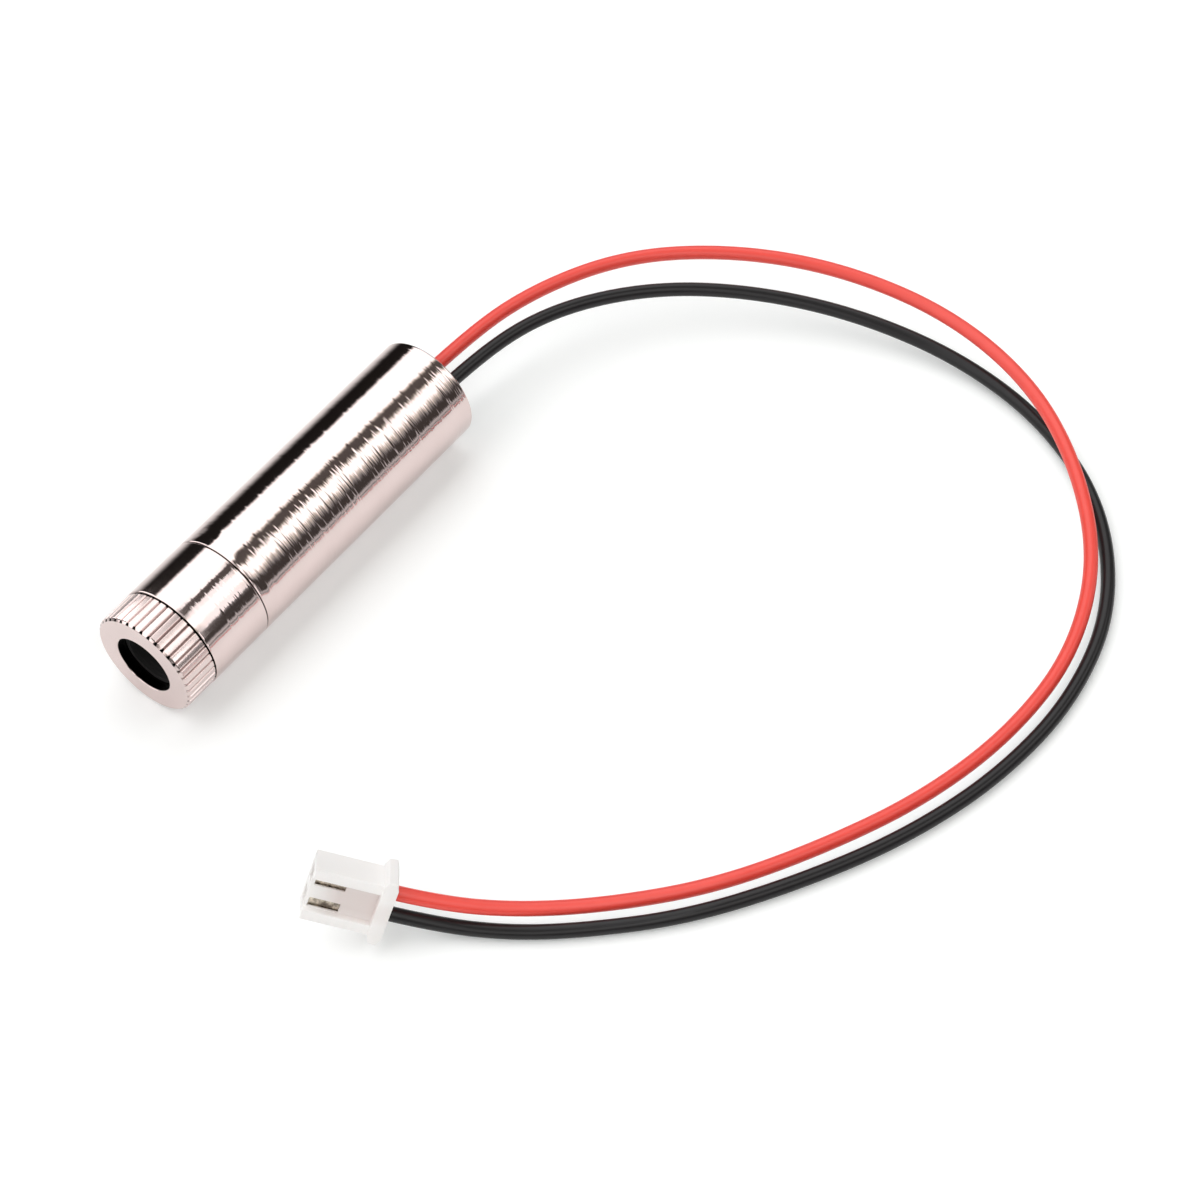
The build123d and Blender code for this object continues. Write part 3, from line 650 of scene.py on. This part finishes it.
def coat(material, *pieces):
    """Lay one material on whole pieces, in place of any that they have."""
    for piece in pieces:
        piece.data.materials.clear()
        piece.data.materials.append(material)
    print(material.name, "on", *[piece.name for piece in pieces])


print("the CAD model brought", len(bpy.data.materials), "plain materials")

# %% Short names for common nodes
NOISE_ROUGHNESS = 0.55


def calc(graph, operation, *values):
    """Add a Math node that works on numbers or outputs."""
    return add(graph, "ShaderNodeMath", dict(enumerate(values)), operation=operation)


def chain(graph, operation, first, *others):
    """Carry one operation of two values through several, as in a times b times c."""
    for value in others:
        first = calc(graph, operation, first, value)
    return first


def times(graph, *values):
    """The product of numbers or outputs."""
    return chain(graph, "MULTIPLY", *values)


def vector(graph, operation, *values, output=0):
    """Add a Vector Math node."""
    return add(graph, "ShaderNodeVectorMath", dict(enumerate(values)), output, operation=operation)


def split(graph, place):
    """The X, Y and Z of a vector."""
    return add(graph, "ShaderNodeSeparateXYZ", {0: place}).node.outputs


def span(graph, value, start, end, low=0.0, high=1.0):
    """Low at the start value, high at the end value and straight between, also where the end is the smaller."""
    return add(graph, "ShaderNodeMapRange", {0: value, 1: start, 2: end, 3: low, 4: high})


def noise(graph, place, size, detail=2.0):
    """A cloudy pattern from 0 to 1, size being the number of clouds per metre."""
    inputs = {"Vector": place, "Scale": size, "Detail": detail, "Roughness": NOISE_ROUGHNESS}
    return add(graph, "ShaderNodeTexNoise", inputs)


def drawn_noise(graph, place, sizes, detail=2.0):
    """The same pattern with a number of clouds per metre for each axis, so it can be drawn out along one."""
    return noise(graph, vector(graph, "MULTIPLY", place, sizes), 1.0, detail)


def centred(graph, value):
    """A 0 to 1 pattern moved to the span from -0.5 to 0.5."""
    return calc(graph, "SUBTRACT", value, 0.5)


def blend(graph, share, first, second):
    """A colour between two others."""
    return add(graph, "ShaderNodeMix", {"Factor": share, 6: first, 7: second}, output=2, data_type="RGBA")


def object_place(graph):
    """The place on the piece, in metres, in its own coordinates."""
    return add(graph, "ShaderNodeTexCoord", output="Object")


print("each finer layer of a noise keeps", NOISE_ROUGHNESS, "of the strength of the one before")

# %% [markdown]
# ## Nickel
#
# Bright nickel is a warm white metal. The lathe left rings round the barrel that the plating follows: they are
# far finer along the barrel than round it. Noise that is drawn out round the barrel gives such rings. It does two
# jobs: it makes some rings blur reflections more than others, and it tips the surface a little round the barrel, which
# frays the edges of the reflected lights as in the photograph. A bump node could tip it too, but it would also
# tip it along the barrel, which the photograph doesn't show. A few rings are scratches that tip it further. The marks
# show more on one side of the barrel in the photograph, so they are scaled by the place across it, and shallow dents
# just behind the seam bend the reflections there.

# %% Marks on the nickel
RING_SIZES = (420.0, 8500.0, 420.0)
FINE_SIZES = (700.0, 14000.0, 700.0)
SCRATCH_SIZES = (120.0, 6000.0, 120.0)
FINE_SHARE = 0.6
SCRATCH_CUT = (0.65, 0.70)
MARKS_RISE = (1.2 * MM, 2.5 * MM, 0.35, 1.4)
MARKS_FALL = (4.5 * MM, 5.1 * MM, 1.0, 0.36)
HOUSING_CALM = 0.45
DENT_SIZE = 620.0
DENT_LEAN = 4.0
DENT_NEAR, DENT_FAR = 0.5 * MM, 3.5 * MM


def barrel_places(graph):
    """The place, its distance behind the front face, its distance from the axis, and the way round the axis."""
    place = object_place(graph)
    sides = split(graph, place)
    height = calc(graph, "SUBTRACT", sides["Z"], AXIS_Z)
    station = calc(graph, "SUBTRACT", sides["Y"], FRONT_Y)
    way = add(graph, "ShaderNodeCombineXYZ", {"X": height, "Z": times(graph, sides["X"], -1.0)})
    return place, station, vector(graph, "LENGTH", way, output="Value"), way


def turning_marks(graph, place, station, rings, tip, scratch):
    """How far the metal leans round the barrel at each place.
    Coarse rings, fine rings and scratches are added, and the sum is multiplied by a share that rises and falls
    across the barrel and is lower ahead of the seam. Shallow dents that fade behind the seam are added to that."""
    fine = times(graph, centred(graph, drawn_noise(graph, place, FINE_SIZES, 1.0)), tip * FINE_SHARE)
    frayed = calc(graph, "MULTIPLY_ADD", centred(graph, rings), tip, fine)
    scratches = span(graph, drawn_noise(graph, place, SCRATCH_SIZES, 0.0), *SCRATCH_CUT)
    side = split(graph, place)["X"]
    calm = span(graph, station, skin_end, tube_front, HOUSING_CALM, 1.0)
    share = times(graph, span(graph, side, *MARKS_RISE), span(graph, side, *MARKS_FALL), calm)
    marks = times(graph, calc(graph, "MULTIPLY_ADD", scratches, scratch, frayed), share)
    near_seam = span(graph, station, tube_front + DENT_FAR, tube_front + DENT_NEAR)
    on_tube = calc(graph, "GREATER_THAN", station, tube_front - SEAM_GAP / 2)
    dents = times(graph, centred(graph, noise(graph, place, DENT_SIZE, 1.0)), near_seam, on_tube, scratch)
    return calc(graph, "MULTIPLY_ADD", dents, DENT_LEAN, marks)


print("turning rings:", RING_SIZES[1] * MM, "coarse and", FINE_SIZES[1] * MM, "fine ones in each mm")

# %% Nickel finish
NICKEL_BRIGHT = (0.745, 0.625, 0.605, 1.0)
NICKEL_DULL = (0.69, 0.57, 0.55, 1.0)
NICKEL_CLOUDS = 320.0
# The near-black colour that paints shade into the nickel's gaps and hollows.
GAP_SHADE_COLOUR = (0.010, 0.008, 0.007, 1.0)


def nickel_finish(name, smooth, rough, tip, scratch, gap_shade):
    """Turned and plated metal: its least and most roughness, how far rings and scratches tip it, and the painted shade
    that darkens its colour in gaps and hollows.
    The normal is the surface's own plus the way round the barrel times the lean, made one long."""
    material, graph, shader = new_finish(name)
    place, station, radius, way = barrel_places(graph)
    rings = drawn_noise(graph, place, RING_SIZES)
    lean = turning_marks(graph, place, station, rings, tip, scratch)
    world_way = add(
        graph, "ShaderNodeVectorTransform", {0: way}, vector_type="VECTOR", convert_from="OBJECT", convert_to="WORLD"
    )
    unit_way = vector(graph, "NORMALIZE", world_way)
    push = add(graph, "ShaderNodeVectorMath", {0: unit_way, "Scale": lean}, operation="SCALE")
    normal = add(graph, "ShaderNodeNewGeometry", output="Normal")
    tint = blend(graph, noise(graph, place, NICKEL_CLOUDS), NICKEL_BRIGHT, NICKEL_DULL)
    feed(graph, shader, {
        # The base colour is painted near black where shade falls in gaps and hollows.
        "Base Color": blend(graph, gap_shade(graph, station, radius), tint, GAP_SHADE_COLOUR),
        "Metallic": 1.0,
        "Roughness": span(graph, rings, 0.0, 1.0, smooth, rough),
        "Normal": vector(graph, "NORMALIZE", vector(graph, "ADD", normal, push)),
    })
    return material


print("bright nickel throws back", NICKEL_BRIGHT[:3], "of the red, green and blue light")

# %% [markdown]
# ## Painted shade on the nickel
#
# The colour is painted darker where light doesn't reach: in the seam, on the two faces that meet behind the ring, and
# in the flutes' ends and bottoms and the ring's mouth. Painting it by hand would need a texture. Here each place is
# told by its distance behind the front face, its distance from the axis and its angle, so the painted shade comes from
# the same lengths as the shapes.

# %% Painted shade in the seam
# The share of painted shade on the two faces that meet behind the ring.
FACE_SHADE_SHARE = 0.65
SKIN_UNSHADED, SKIN_SHADED = 0.07 * MM, 0.13 * MM
SEAM_REACH = 0.5 * MM
FACE_REACH = 0.3 * MM


def seam_painted_shade(graph, station, radius):
    """Painted shade below the barrel's skin: full in the seam, and lighter on the face that the ring covers."""
    below = span(graph, radius, BARREL_R - SKIN_UNSHADED, BARREL_R - SKIN_SHADED)
    seam = calc(graph, "COMPARE", station, tube_front, SEAM_REACH)
    face = times(graph, calc(graph, "LESS_THAN", station, housing_front + FACE_REACH), FACE_SHADE_SHARE)
    return times(graph, below, calc(graph, "MAXIMUM", seam, face))


barrel_nickel = nickel_finish("barrel_nickel", smooth=0.05, rough=0.12, tip=0.17, scratch=0.09, gap_shade=seam_painted_shade)
coat(barrel_nickel, rear_tube, front_barrel)

# %% Painted shade on the ring
# The numbers below shape the painted shade in the flutes' ends and bottoms, on the ring's back and in its mouth.
NOTCH_SHARE = 0.24
NOTCH_LENGTH = 0.46 * MM
NOTCH_BLUR = 0.03
NOTCH_START = (0.01 * MM, 0.03 * MM)
UPPER_SIDE = (AXIS_Z + 2.4 * MM, AXIS_Z + 3.4 * MM, 0.3, 1.0)
BACK_EDGE = (RING_LENGTH - 0.05 * MM, RING_LENGTH - 0.01 * MM)
MOUTH_EDGE = (APERTURE_R + 0.05 * MM, APERTURE_R + 0.02 * MM)
FLUTE_FLOOR = (TOOTH_TOP_R - 0.12 * MM, TOOTH_TOP_R - 0.25 * MM)
MOUTH_SHADE_SHARE = 0.985
FLOOR_SHADE_SHARE = 0.4
SHANK_CLEAR = 0.02 * MM


def notch_painted_shade(graph, station):
    """Painted shade in the front end of each flute, less of it on the lower side.
    It is a triangle: its width, as a share of the tooth spacing, shrinks away from the face."""
    sides = split(graph, object_place(graph))
    angle = calc(graph, "ARCTAN2", sides["X"], calc(graph, "SUBTRACT", sides["Z"], AXIS_Z))
    turn = calc(graph, "FRACT", times(graph, angle, FLUTES / (2 * math.pi)))
    from_flute = calc(graph, "ABSOLUTE", centred(graph, turn))
    width = calc(graph, "MULTIPLY_ADD", station, -NOTCH_SHARE / NOTCH_LENGTH, NOTCH_SHARE)
    in_triangle = span(graph, calc(graph, "SUBTRACT", from_flute, width), NOTCH_BLUR, 0.0)
    return times(graph, in_triangle, span(graph, station, *NOTCH_START), span(graph, sides["Z"], *UPPER_SIDE))


def flute_painted_shade(graph, station, radius):
    """Painted shade in the flutes' front ends and bottoms, on the ring's back and in its mouth."""

    def outside(limit):
        return calc(graph, "GREATER_THAN", radius, limit)

    notch = times(graph, notch_painted_shade(graph, station), outside(CELL_SEAT_R))
    back = times(graph, span(graph, station, *BACK_EDGE), outside(SHANK_R + SHANK_CLEAR), FACE_SHADE_SHARE)
    mouth = times(graph, span(graph, radius, *MOUTH_EDGE), MOUTH_SHADE_SHARE)
    past_chamfer = calc(graph, "GREATER_THAN", station, RING_CHAMFER)
    bottom = times(graph, span(graph, radius, *FLUTE_FLOOR), FLOOR_SHADE_SHARE, past_chamfer, outside(SHANK_R))
    return chain(graph, "MAXIMUM", notch, bottom, back, mouth)


ring_nickel = nickel_finish("ring_nickel", smooth=0.12, rough=0.24, tip=0.10, scratch=0.0, gap_shade=flute_painted_shade)
coat(ring_nickel, ring_collar, ring_shank)

# %% [markdown]
# ## PVC of the wires
#
# The wire's cover is extruded PVC with a satin skin. Its colour is nearly even, with slight clouds along the wire
# and a very fine roughness that softens the highlight. In the photograph the wires hardly darken the table and don't
# redden it. Hiding the red one from diffuse rays does that here, and the black one beside it keeps its soft shadow.

# %% PVC finishes
PVC_CLOUDS, PVC_GRAIN = 420.0, 9000.0
PVC_BUMP, PVC_BUMP_DEPTH = 0.25, 0.01 * MM
PVC_SMOOTHER, PVC_ROUGHER = 0.05, 0.08
RED, RED_SHADE = (0.91, 0.070, 0.050, 1), (0.85, 0.060, 0.042, 1)
BLACK, BLACK_SHADE = (0.013, 0.012, 0.013, 1), (0.009, 0.008, 0.009, 1)


def pvc_finish(name, colour, shade, roughness, gloss):
    """Extruded PVC: two close shades in soft clouds, and fine bumps of a few thousandths of a millimetre."""
    material, graph, shader = new_finish(name)
    place = object_place(graph)
    grain = noise(graph, place, PVC_GRAIN)
    bumps = {"Strength": PVC_BUMP, "Distance": PVC_BUMP_DEPTH, "Height": grain}
    feed(graph, shader, {
        "Base Color": blend(graph, noise(graph, place, PVC_CLOUDS), colour, shade),
        "Roughness": span(graph, grain, 0.0, 1.0, roughness - PVC_SMOOTHER, roughness + PVC_ROUGHER),
        "Normal": add(graph, "ShaderNodeBump", bumps),
        "Specular IOR Level": gloss,
    })
    return material


coat(pvc_finish("red_pvc", RED, RED_SHADE, roughness=0.36, gloss=0.65), red_lead)
coat(pvc_finish("black_pvc", BLACK, BLACK_SHADE, roughness=0.30, gloss=0.34), black_lead)
red_lead.visible_diffuse = False

# %% [markdown]
# ## Plain finishes
#
# The other pieces are small or out of sight, and share one kind of finish: a colour with faint clouds over a fine
# grain. One function makes them all. It takes more shader inputs where a piece needs them, and a function that
# changes the colour from place to place. Writing a graph for each would repeat the same nodes a dozen times.

# %% Plain finish
PLAIN_CLOUDS, PLAIN_GRAIN = 900.0, 12000.0
PLAIN_BUMP, PLAIN_BUMP_DEPTH = 0.3, 0.004 * MM
PLAIN_SMOOTHER, PLAIN_ROUGHER = 0.06, 0.08


def plain_finish(name, colour, roughness, metallic=0.0, cloud=0.15, depth=PLAIN_BUMP_DEPTH, tint=None, **more):
    """A colour that darkens by a share in soft clouds, over a fine grain.
    Tint may change the colour from place to place, and more inputs of the shader are given with _ for a space."""
    material, graph, shader = new_finish(name)
    place = object_place(graph)
    clouds = noise(graph, place, PLAIN_CLOUDS, 3.0)
    grain = noise(graph, place, PLAIN_GRAIN)
    dark = tuple(value * (1 - cloud) for value in colour[:3]) + (1.0,)
    shade = blend(graph, clouds, colour, dark)
    feed(graph, shader, {
        "Base Color": tint(graph, place, shade) if tint else shade,
        "Metallic": metallic,
        "Roughness": span(graph, clouds, 0.0, 1.0, roughness - PLAIN_SMOOTHER, roughness + PLAIN_ROUGHER),
        "Normal": add(graph, "ShaderNodeBump", {"Strength": PLAIN_BUMP, "Distance": depth, "Height": grain}),
        **{key.replace("_", " "): value for key, value in more.items()},
    })
    return material


print("plain finishes have", PLAIN_GRAIN * MM, "specks of grain in each mm")

# %% [markdown]
# ## Nylon of the plug
#
# The plug is milky nylon: light goes a little way into it, which Subsurface gives. Between the two wire ends it looks
# darker and rosier, from the shade of the recess there and the crimped wire ends inside. The rays inside would have to
# be very many to show that by themselves, so it is painted shade in the colour: it turns rosier where the distances
# from the two wires' lines add up to little.

# %% Nylon
NYLON = (0.97, 0.945, 0.93, 1)
# A darker, rosier colour that paints the recess's shade between the wire ends.
NYLON_SHADED = (0.79, 0.71, 0.69, 1)
SHADE_SUM = (5.6 * MM, 3.6 * MM)
SHADE_REACH = (12.0 * MM, 9.5 * MM)


def from_wire(graph, place, route):
    """How far a place is from the line of a wire's last leg, and how far along that line.
    For a place p, a leg through a and its direction d, these are the length of (p - a) x d and (p - a) . d."""
    start, end = Vector(route[-2]) * MM, Vector(route[-1]) * MM
    leg = (end - start).normalized()
    offset = vector(graph, "SUBTRACT", place, start)
    away = vector(graph, "LENGTH", vector(graph, "CROSS_PRODUCT", offset, leg), output="Value")
    return away, vector(graph, "DOT_PRODUCT", offset, leg, output="Value")


def painted_inner_shade(graph, place, shade):
    """The given colour, and a darker, rosier one painted as shade where a place is near both wire ends and not yet at
    the plug's nose.
    """
    from_red, way_in = from_wire(graph, place, RED_ROUTE)
    from_black, _ = from_wire(graph, place, BLACK_ROUTE)
    between = span(graph, calc(graph, "ADD", from_red, from_black), *SHADE_SUM)
    return blend(graph, times(graph, between, span(graph, way_in, *SHADE_REACH)), shade, NYLON_SHADED)


nylon = plain_finish(
    "milky_nylon", NYLON, roughness=0.40, cloud=0.02, tint=painted_inner_shade,
    Subsurface_Weight=0.3, Subsurface_Radius=(1.0, 0.95, 0.92), Subsurface_Scale=0.5 * MM,
)
coat(nylon, plug_shell)

# %% [markdown]
# ## Tin, steel, resin and glass
#
# The contacts are folded from tinned brass, and the light and shade of their folds is painted into the colour as light
# and dark patches, from noise that is cut to a narrower span. The lens has a faint coat that takes off most of its
# mirror. The rest is plain.

# %% Tin, steel, resin and glass
TIN = (0.56, 0.50, 0.43, 1)
# Lit and shaded colours that paint the folds' light and shade onto the contacts.
FOLD_LIT, FOLD_SHADED = (0.80, 0.73, 0.62, 1), (0.20, 0.17, 0.14, 1)
FOLD_SIZE = 1500.0
FOLD_CUT = (0.36, 0.66)


def painted_fold_light(graph, place, shade):
    """Painted light and shade of folded sheet: light and dark patches in place of the even colour."""
    return blend(graph, span(graph, noise(graph, place, FOLD_SIZE), *FOLD_CUT), FOLD_LIT, FOLD_SHADED)


coat(plain_finish("folded_tin", TIN, roughness=0.26, metallic=1.0, tint=painted_fold_light), plug_terminals)
coat(plain_finish("spring_steel", (0.55, 0.55, 0.56, 1), roughness=0.3, metallic=1.0), lens_spring)
coat(plain_finish("cast_resin", (0.045, 0.045, 0.048, 1), roughness=0.3), rear_potting)
clear_glass = plain_finish(
    "coated_glass", (0.96, 0.98, 1.0, 1), roughness=0.08, cloud=0.02, depth=0.0,
    Transmission_Weight=1.0, IOR=1.52, Specular_IOR_Level=0.2,
)
coat(clear_glass, lens_glass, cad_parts["diode_window"])
cell_black = plain_finish("cell_black", (0.006, 0.005, 0.005, 1), roughness=0.7)
coat(cell_black, lens_barrel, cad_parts["lens_retainer"])

# %% [markdown]
# ## What is inside
#
# The diode, the driver board and its components are out of sight behind the seam and the potting, and show only
# when the part is opened. Their CAD solids have the right shapes, so they stay, and a table gives each its finish.

# %% Inner finishes
INNER = [
    ("gold_plate", (0.80, 0.58, 0.25, 1), 0.25, 1.0, 0.15, ["diode_base", "diode_can", "diode_leads"]),
    ("tinned_brass", TIN, 0.3, 1.0, 0.35, ["solder_joints", "wire_ends"]),
    ("solder_mask", (0.02, 0.16, 0.07, 1), 0.35, 0.0, 0.15, ["driver_board"]),
    ("chip_black", (0.02, 0.02, 0.022, 1), 0.5, 0.0, 0.15, ["regulator_chip", "pass_transistor", "resistors"]),
    ("capacitor_yellow", (0.70, 0.40, 0.06, 1), 0.45, 0.0, 0.15, ["input_capacitor"]),
    ("ceramic_tan", (0.50, 0.37, 0.24, 1), 0.4, 0.0, 0.15, ["ceramic_capacitors"]),
    ("trimmer_blue", (0.05, 0.15, 0.50, 1), 0.35, 0.0, 0.15, ["trimmer"]),
]
for name, colour, roughness, metallic, cloud, nodes in INNER:
    coat(plain_finish(name, colour, roughness, metallic, cloud), *[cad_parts[node] for node in nodes])

# %% [markdown]
# ## Light
#
# A cylinder of bright metal is a mirror: what it shows is the room. Across the barrel it mirrors one direction
# after another, turned about the barrel's axis, so the room is written as brightness against that angle: straight
# up is 0 and positive angles lean to the side of the wires. Two wide soft lights hang above with a dark gap between
# them, and the room is dark towards the horizon. Area lights could hang there as well, but a ramp in the world has
# exact edges and no noise. The same room lights the wires, the plug and the table, at a level where a colour looks
# as it is written. The camera itself sees plain white, also through glass.

# %% Room
LIGHT = 1.80
WHITE = (1.0, 1.0, 1.0)
WARM_DARK = (1.0, 0.90, 0.84)
WARM_EDGE = (1.0, 0.96, 0.84)
ROOM = [
    (-180, 0.60, WHITE), (-96, 0.05, WARM_DARK), (-88, 0.012, WARM_DARK), (-58, 0.014, WARM_DARK),
    (-52, LIGHT, WHITE), (-4, LIGHT, WHITE), (-1, 0.95, WARM_EDGE), (2, 0.12, WARM_DARK),
    (20, 0.10, WARM_DARK), (23.5, 0.95, WARM_EDGE), (27, LIGHT, WHITE), (45, LIGHT, WHITE),
    (51, 0.90, WARM_EDGE), (60, 0.30, WHITE), (67, 0.062, WARM_DARK), (83.6, 0.062, WARM_DARK),
    (86.6, 0.62, WHITE), (180, 0.60, WHITE),
]
BACK_SHADE = 0.10
BACK_WALL = (0.74, 0.86, LIGHT, LIGHT * BACK_SHADE)

world = bpy.data.worlds.new("studio")
bpy.context.scene.world = world
world.use_nodes = True
room = world.node_tree
room.nodes.clear()
direction = split(room, add(room, "ShaderNodeTexCoord", output="Generated"))
lean = calc(room, "ARCTAN2", direction["X"], direction["Z"])
position = calc(room, "ADD", calc(room, "DIVIDE", lean, 2 * math.pi), 0.5)
ramp = add(room, "ShaderNodeValToRGB", {0: position}, output="Color")
stops = ramp.node.color_ramp.elements
while len(stops) < len(ROOM):
    stops.new(1.0)
for stop, (degrees, level, tint) in zip(stops, ROOM):
    stop.position = (degrees + 180) / 360
    stop.color = (*[level / LIGHT * value for value in tint], 1.0)
rays = room.nodes.new("ShaderNodeLightPath").outputs
seen = calc(room, "MAXIMUM", rays["Is Camera Ray"], rays["Is Transmission Ray"])
soft_light = add(room, "ShaderNodeBackground", {"Color": ramp, "Strength": span(room, direction["Y"], *BACK_WALL)})
plain_white = add(room, "ShaderNodeBackground", {"Color": (*WHITE, 1), "Strength": 1.0})
sky = add(room, "ShaderNodeMixShader", {0: seen, 1: soft_light, 2: plain_white})
feed(room, room.nodes.new("ShaderNodeOutputWorld"), {"Surface": sky})
print("room with", len(stops), "stops of brightness round the barrel")

# %% [markdown]
# ## Table
#
# The object lies on white paper that goes on beyond the picture. The paper is plain and diffuse, with a little glow of
# its own that only the camera and mirrored rays see, so that it is white in the picture and still keeps the shadow.
# More light would whiten it too, but it would bleach the object. In the metal the paper darkens away from the barrel,
# as a real sheet does that ends and leaves the dark room: only mirrored rays see that.

# %% Table
TABLE_HALF = 0.9
TABLE_LIFT = 0.12
PAPER_GLOW = 0.04
PAPER = (0.92, 0.92, 0.92, 1)
GLOW_TINT = (0.93, 1, 1, 1)
FAR_DARK = (0.02, 0.018, 0.018, 1)
LEFT_START, LEFT_LENGTH = 0.010, 0.028
RIGHT_START, RIGHT_LENGTH = 0.015, 0.125
SQUARE = [(-1, -1, 0), (1, -1, 0), (1, 1, 0), (-1, 1, 0)]


def flat_sheet(name, corners):
    """A stage piece of one four-cornered face, with its corners in metres."""
    mesh = bpy.data.meshes.new(name)
    mesh.from_pydata(np.asarray(corners).tolist(), [], [(0, 1, 2, 3)])
    piece = put(name, mesh)
    return piece


table = flat_sheet("table", TABLE_HALF * np.array(SQUARE))
paper, sheet, paper_output = new_graph("white_paper")
across = split(sheet, object_place(sheet))["X"]
left_way = calc(sheet, "MULTIPLY_ADD", across, -1 / LEFT_LENGTH, -LEFT_START / LEFT_LENGTH)
right_way = calc(sheet, "MULTIPLY_ADD", across, 1 / RIGHT_LENGTH, -RIGHT_START / RIGHT_LENGTH)
way_off = chain(sheet, "MAXIMUM", left_way, right_way, 0.0)
square = times(sheet, way_off, way_off)
rays = sheet.nodes.new("ShaderNodeLightPath").outputs
darker = calc(sheet, "DIVIDE", square, calc(sheet, "ADD", square, 1.0))
far = times(sheet, darker, rays["Is Glossy Ray"])
direct = calc(sheet, "MAXIMUM", rays["Is Camera Ray"], rays["Is Glossy Ray"])
glow = calc(sheet, "MULTIPLY_ADD", rays["Is Camera Ray"], PAPER_GLOW, times(sheet, direct, TABLE_LIFT))
lit = add(sheet, "ShaderNodeBsdfDiffuse", {"Color": PAPER})
lift = add(sheet, "ShaderNodeEmission", {"Color": GLOW_TINT, "Strength": glow})
near = add(sheet, "ShaderNodeAddShader", {0: lit, 1: lift})
dark = add(sheet, "ShaderNodeEmission", {"Color": FAR_DARK, "Strength": 1.0})
feed(sheet, paper_output, {"Surface": add(sheet, "ShaderNodeMixShader", {0: far, 1: near, 2: dark})})
coat(paper, table)

# %% [markdown]
# ## Cards for the ring and the front housing
#
# The ring's teeth look bright all round in the photograph, also where the barrel behind them mirrors the dark gap
# and the horizon. A photographer gets that with small white cards held close to one part of the object. Each card
# here stands where only the ring mirrors it to the camera, and is hidden from all but mirrored rays, so it lights
# nothing else. Three more stand where the front housing mirrors them, because its dark bands are narrower than
# those of the tube behind it.

# %% Reflector cards
CARDS = [
    ("left_card", 3.0, [(-60, 2.5, 5), (-60, 8.0, 52), (-60, -22, 52), (-60, -22, 5)]),
    ("top_card", 1.3, [(1, 4.5, 70), (26, 6.5, 70), (26, -22, 70), (1, -22, 70)]),
    ("right_card", 2.6, [(60, 5.0, 25), (60, 7.5, 44), (60, -22, 44), (60, -22, 25)]),
    ("low_card", 2.3, [(60, 3.5, 8), (60, 3.6, 14), (60, -22, 14), (60, -22, 8)]),
    ("front_card", 1.7, [(-60, -55, 2), (-60, -125, 2), (-60, -125, 62), (-60, -55, 62)]),
    ("housing_left_card", 1.7, [(-2.7, 6.6, 70), (5.6, 6.6, 70), (5.6, 14.9, 70), (-2.7, 14.9, 70)]),
    ("housing_right_card", 1.5, [(20.2, 8.2, 70), (32.4, 9.2, 70), (32.4, 17.4, 70), (20.2, 16.4, 70)]),
    ("housing_side_card", 1.5, [(60, 14.4, 62.7), (60, 23.1, 62.7), (60, 17.6, 41.5), (60, 9.1, 41.5)]),
]
for name, level, corners in CARDS:
    card = flat_sheet(name, np.array(corners) * MM)
    card.visible_camera = card.visible_diffuse = card.visible_shadow = card.visible_transmission = False
    material, graph, output = new_graph(name)
    shine = add(graph, "ShaderNodeEmission", {"Color": (*WHITE, 1), "Strength": level})
    feed(graph, output, {"Surface": shine})
    coat(material, card)

bpy.context.scene.view_settings.view_transform = "Standard"
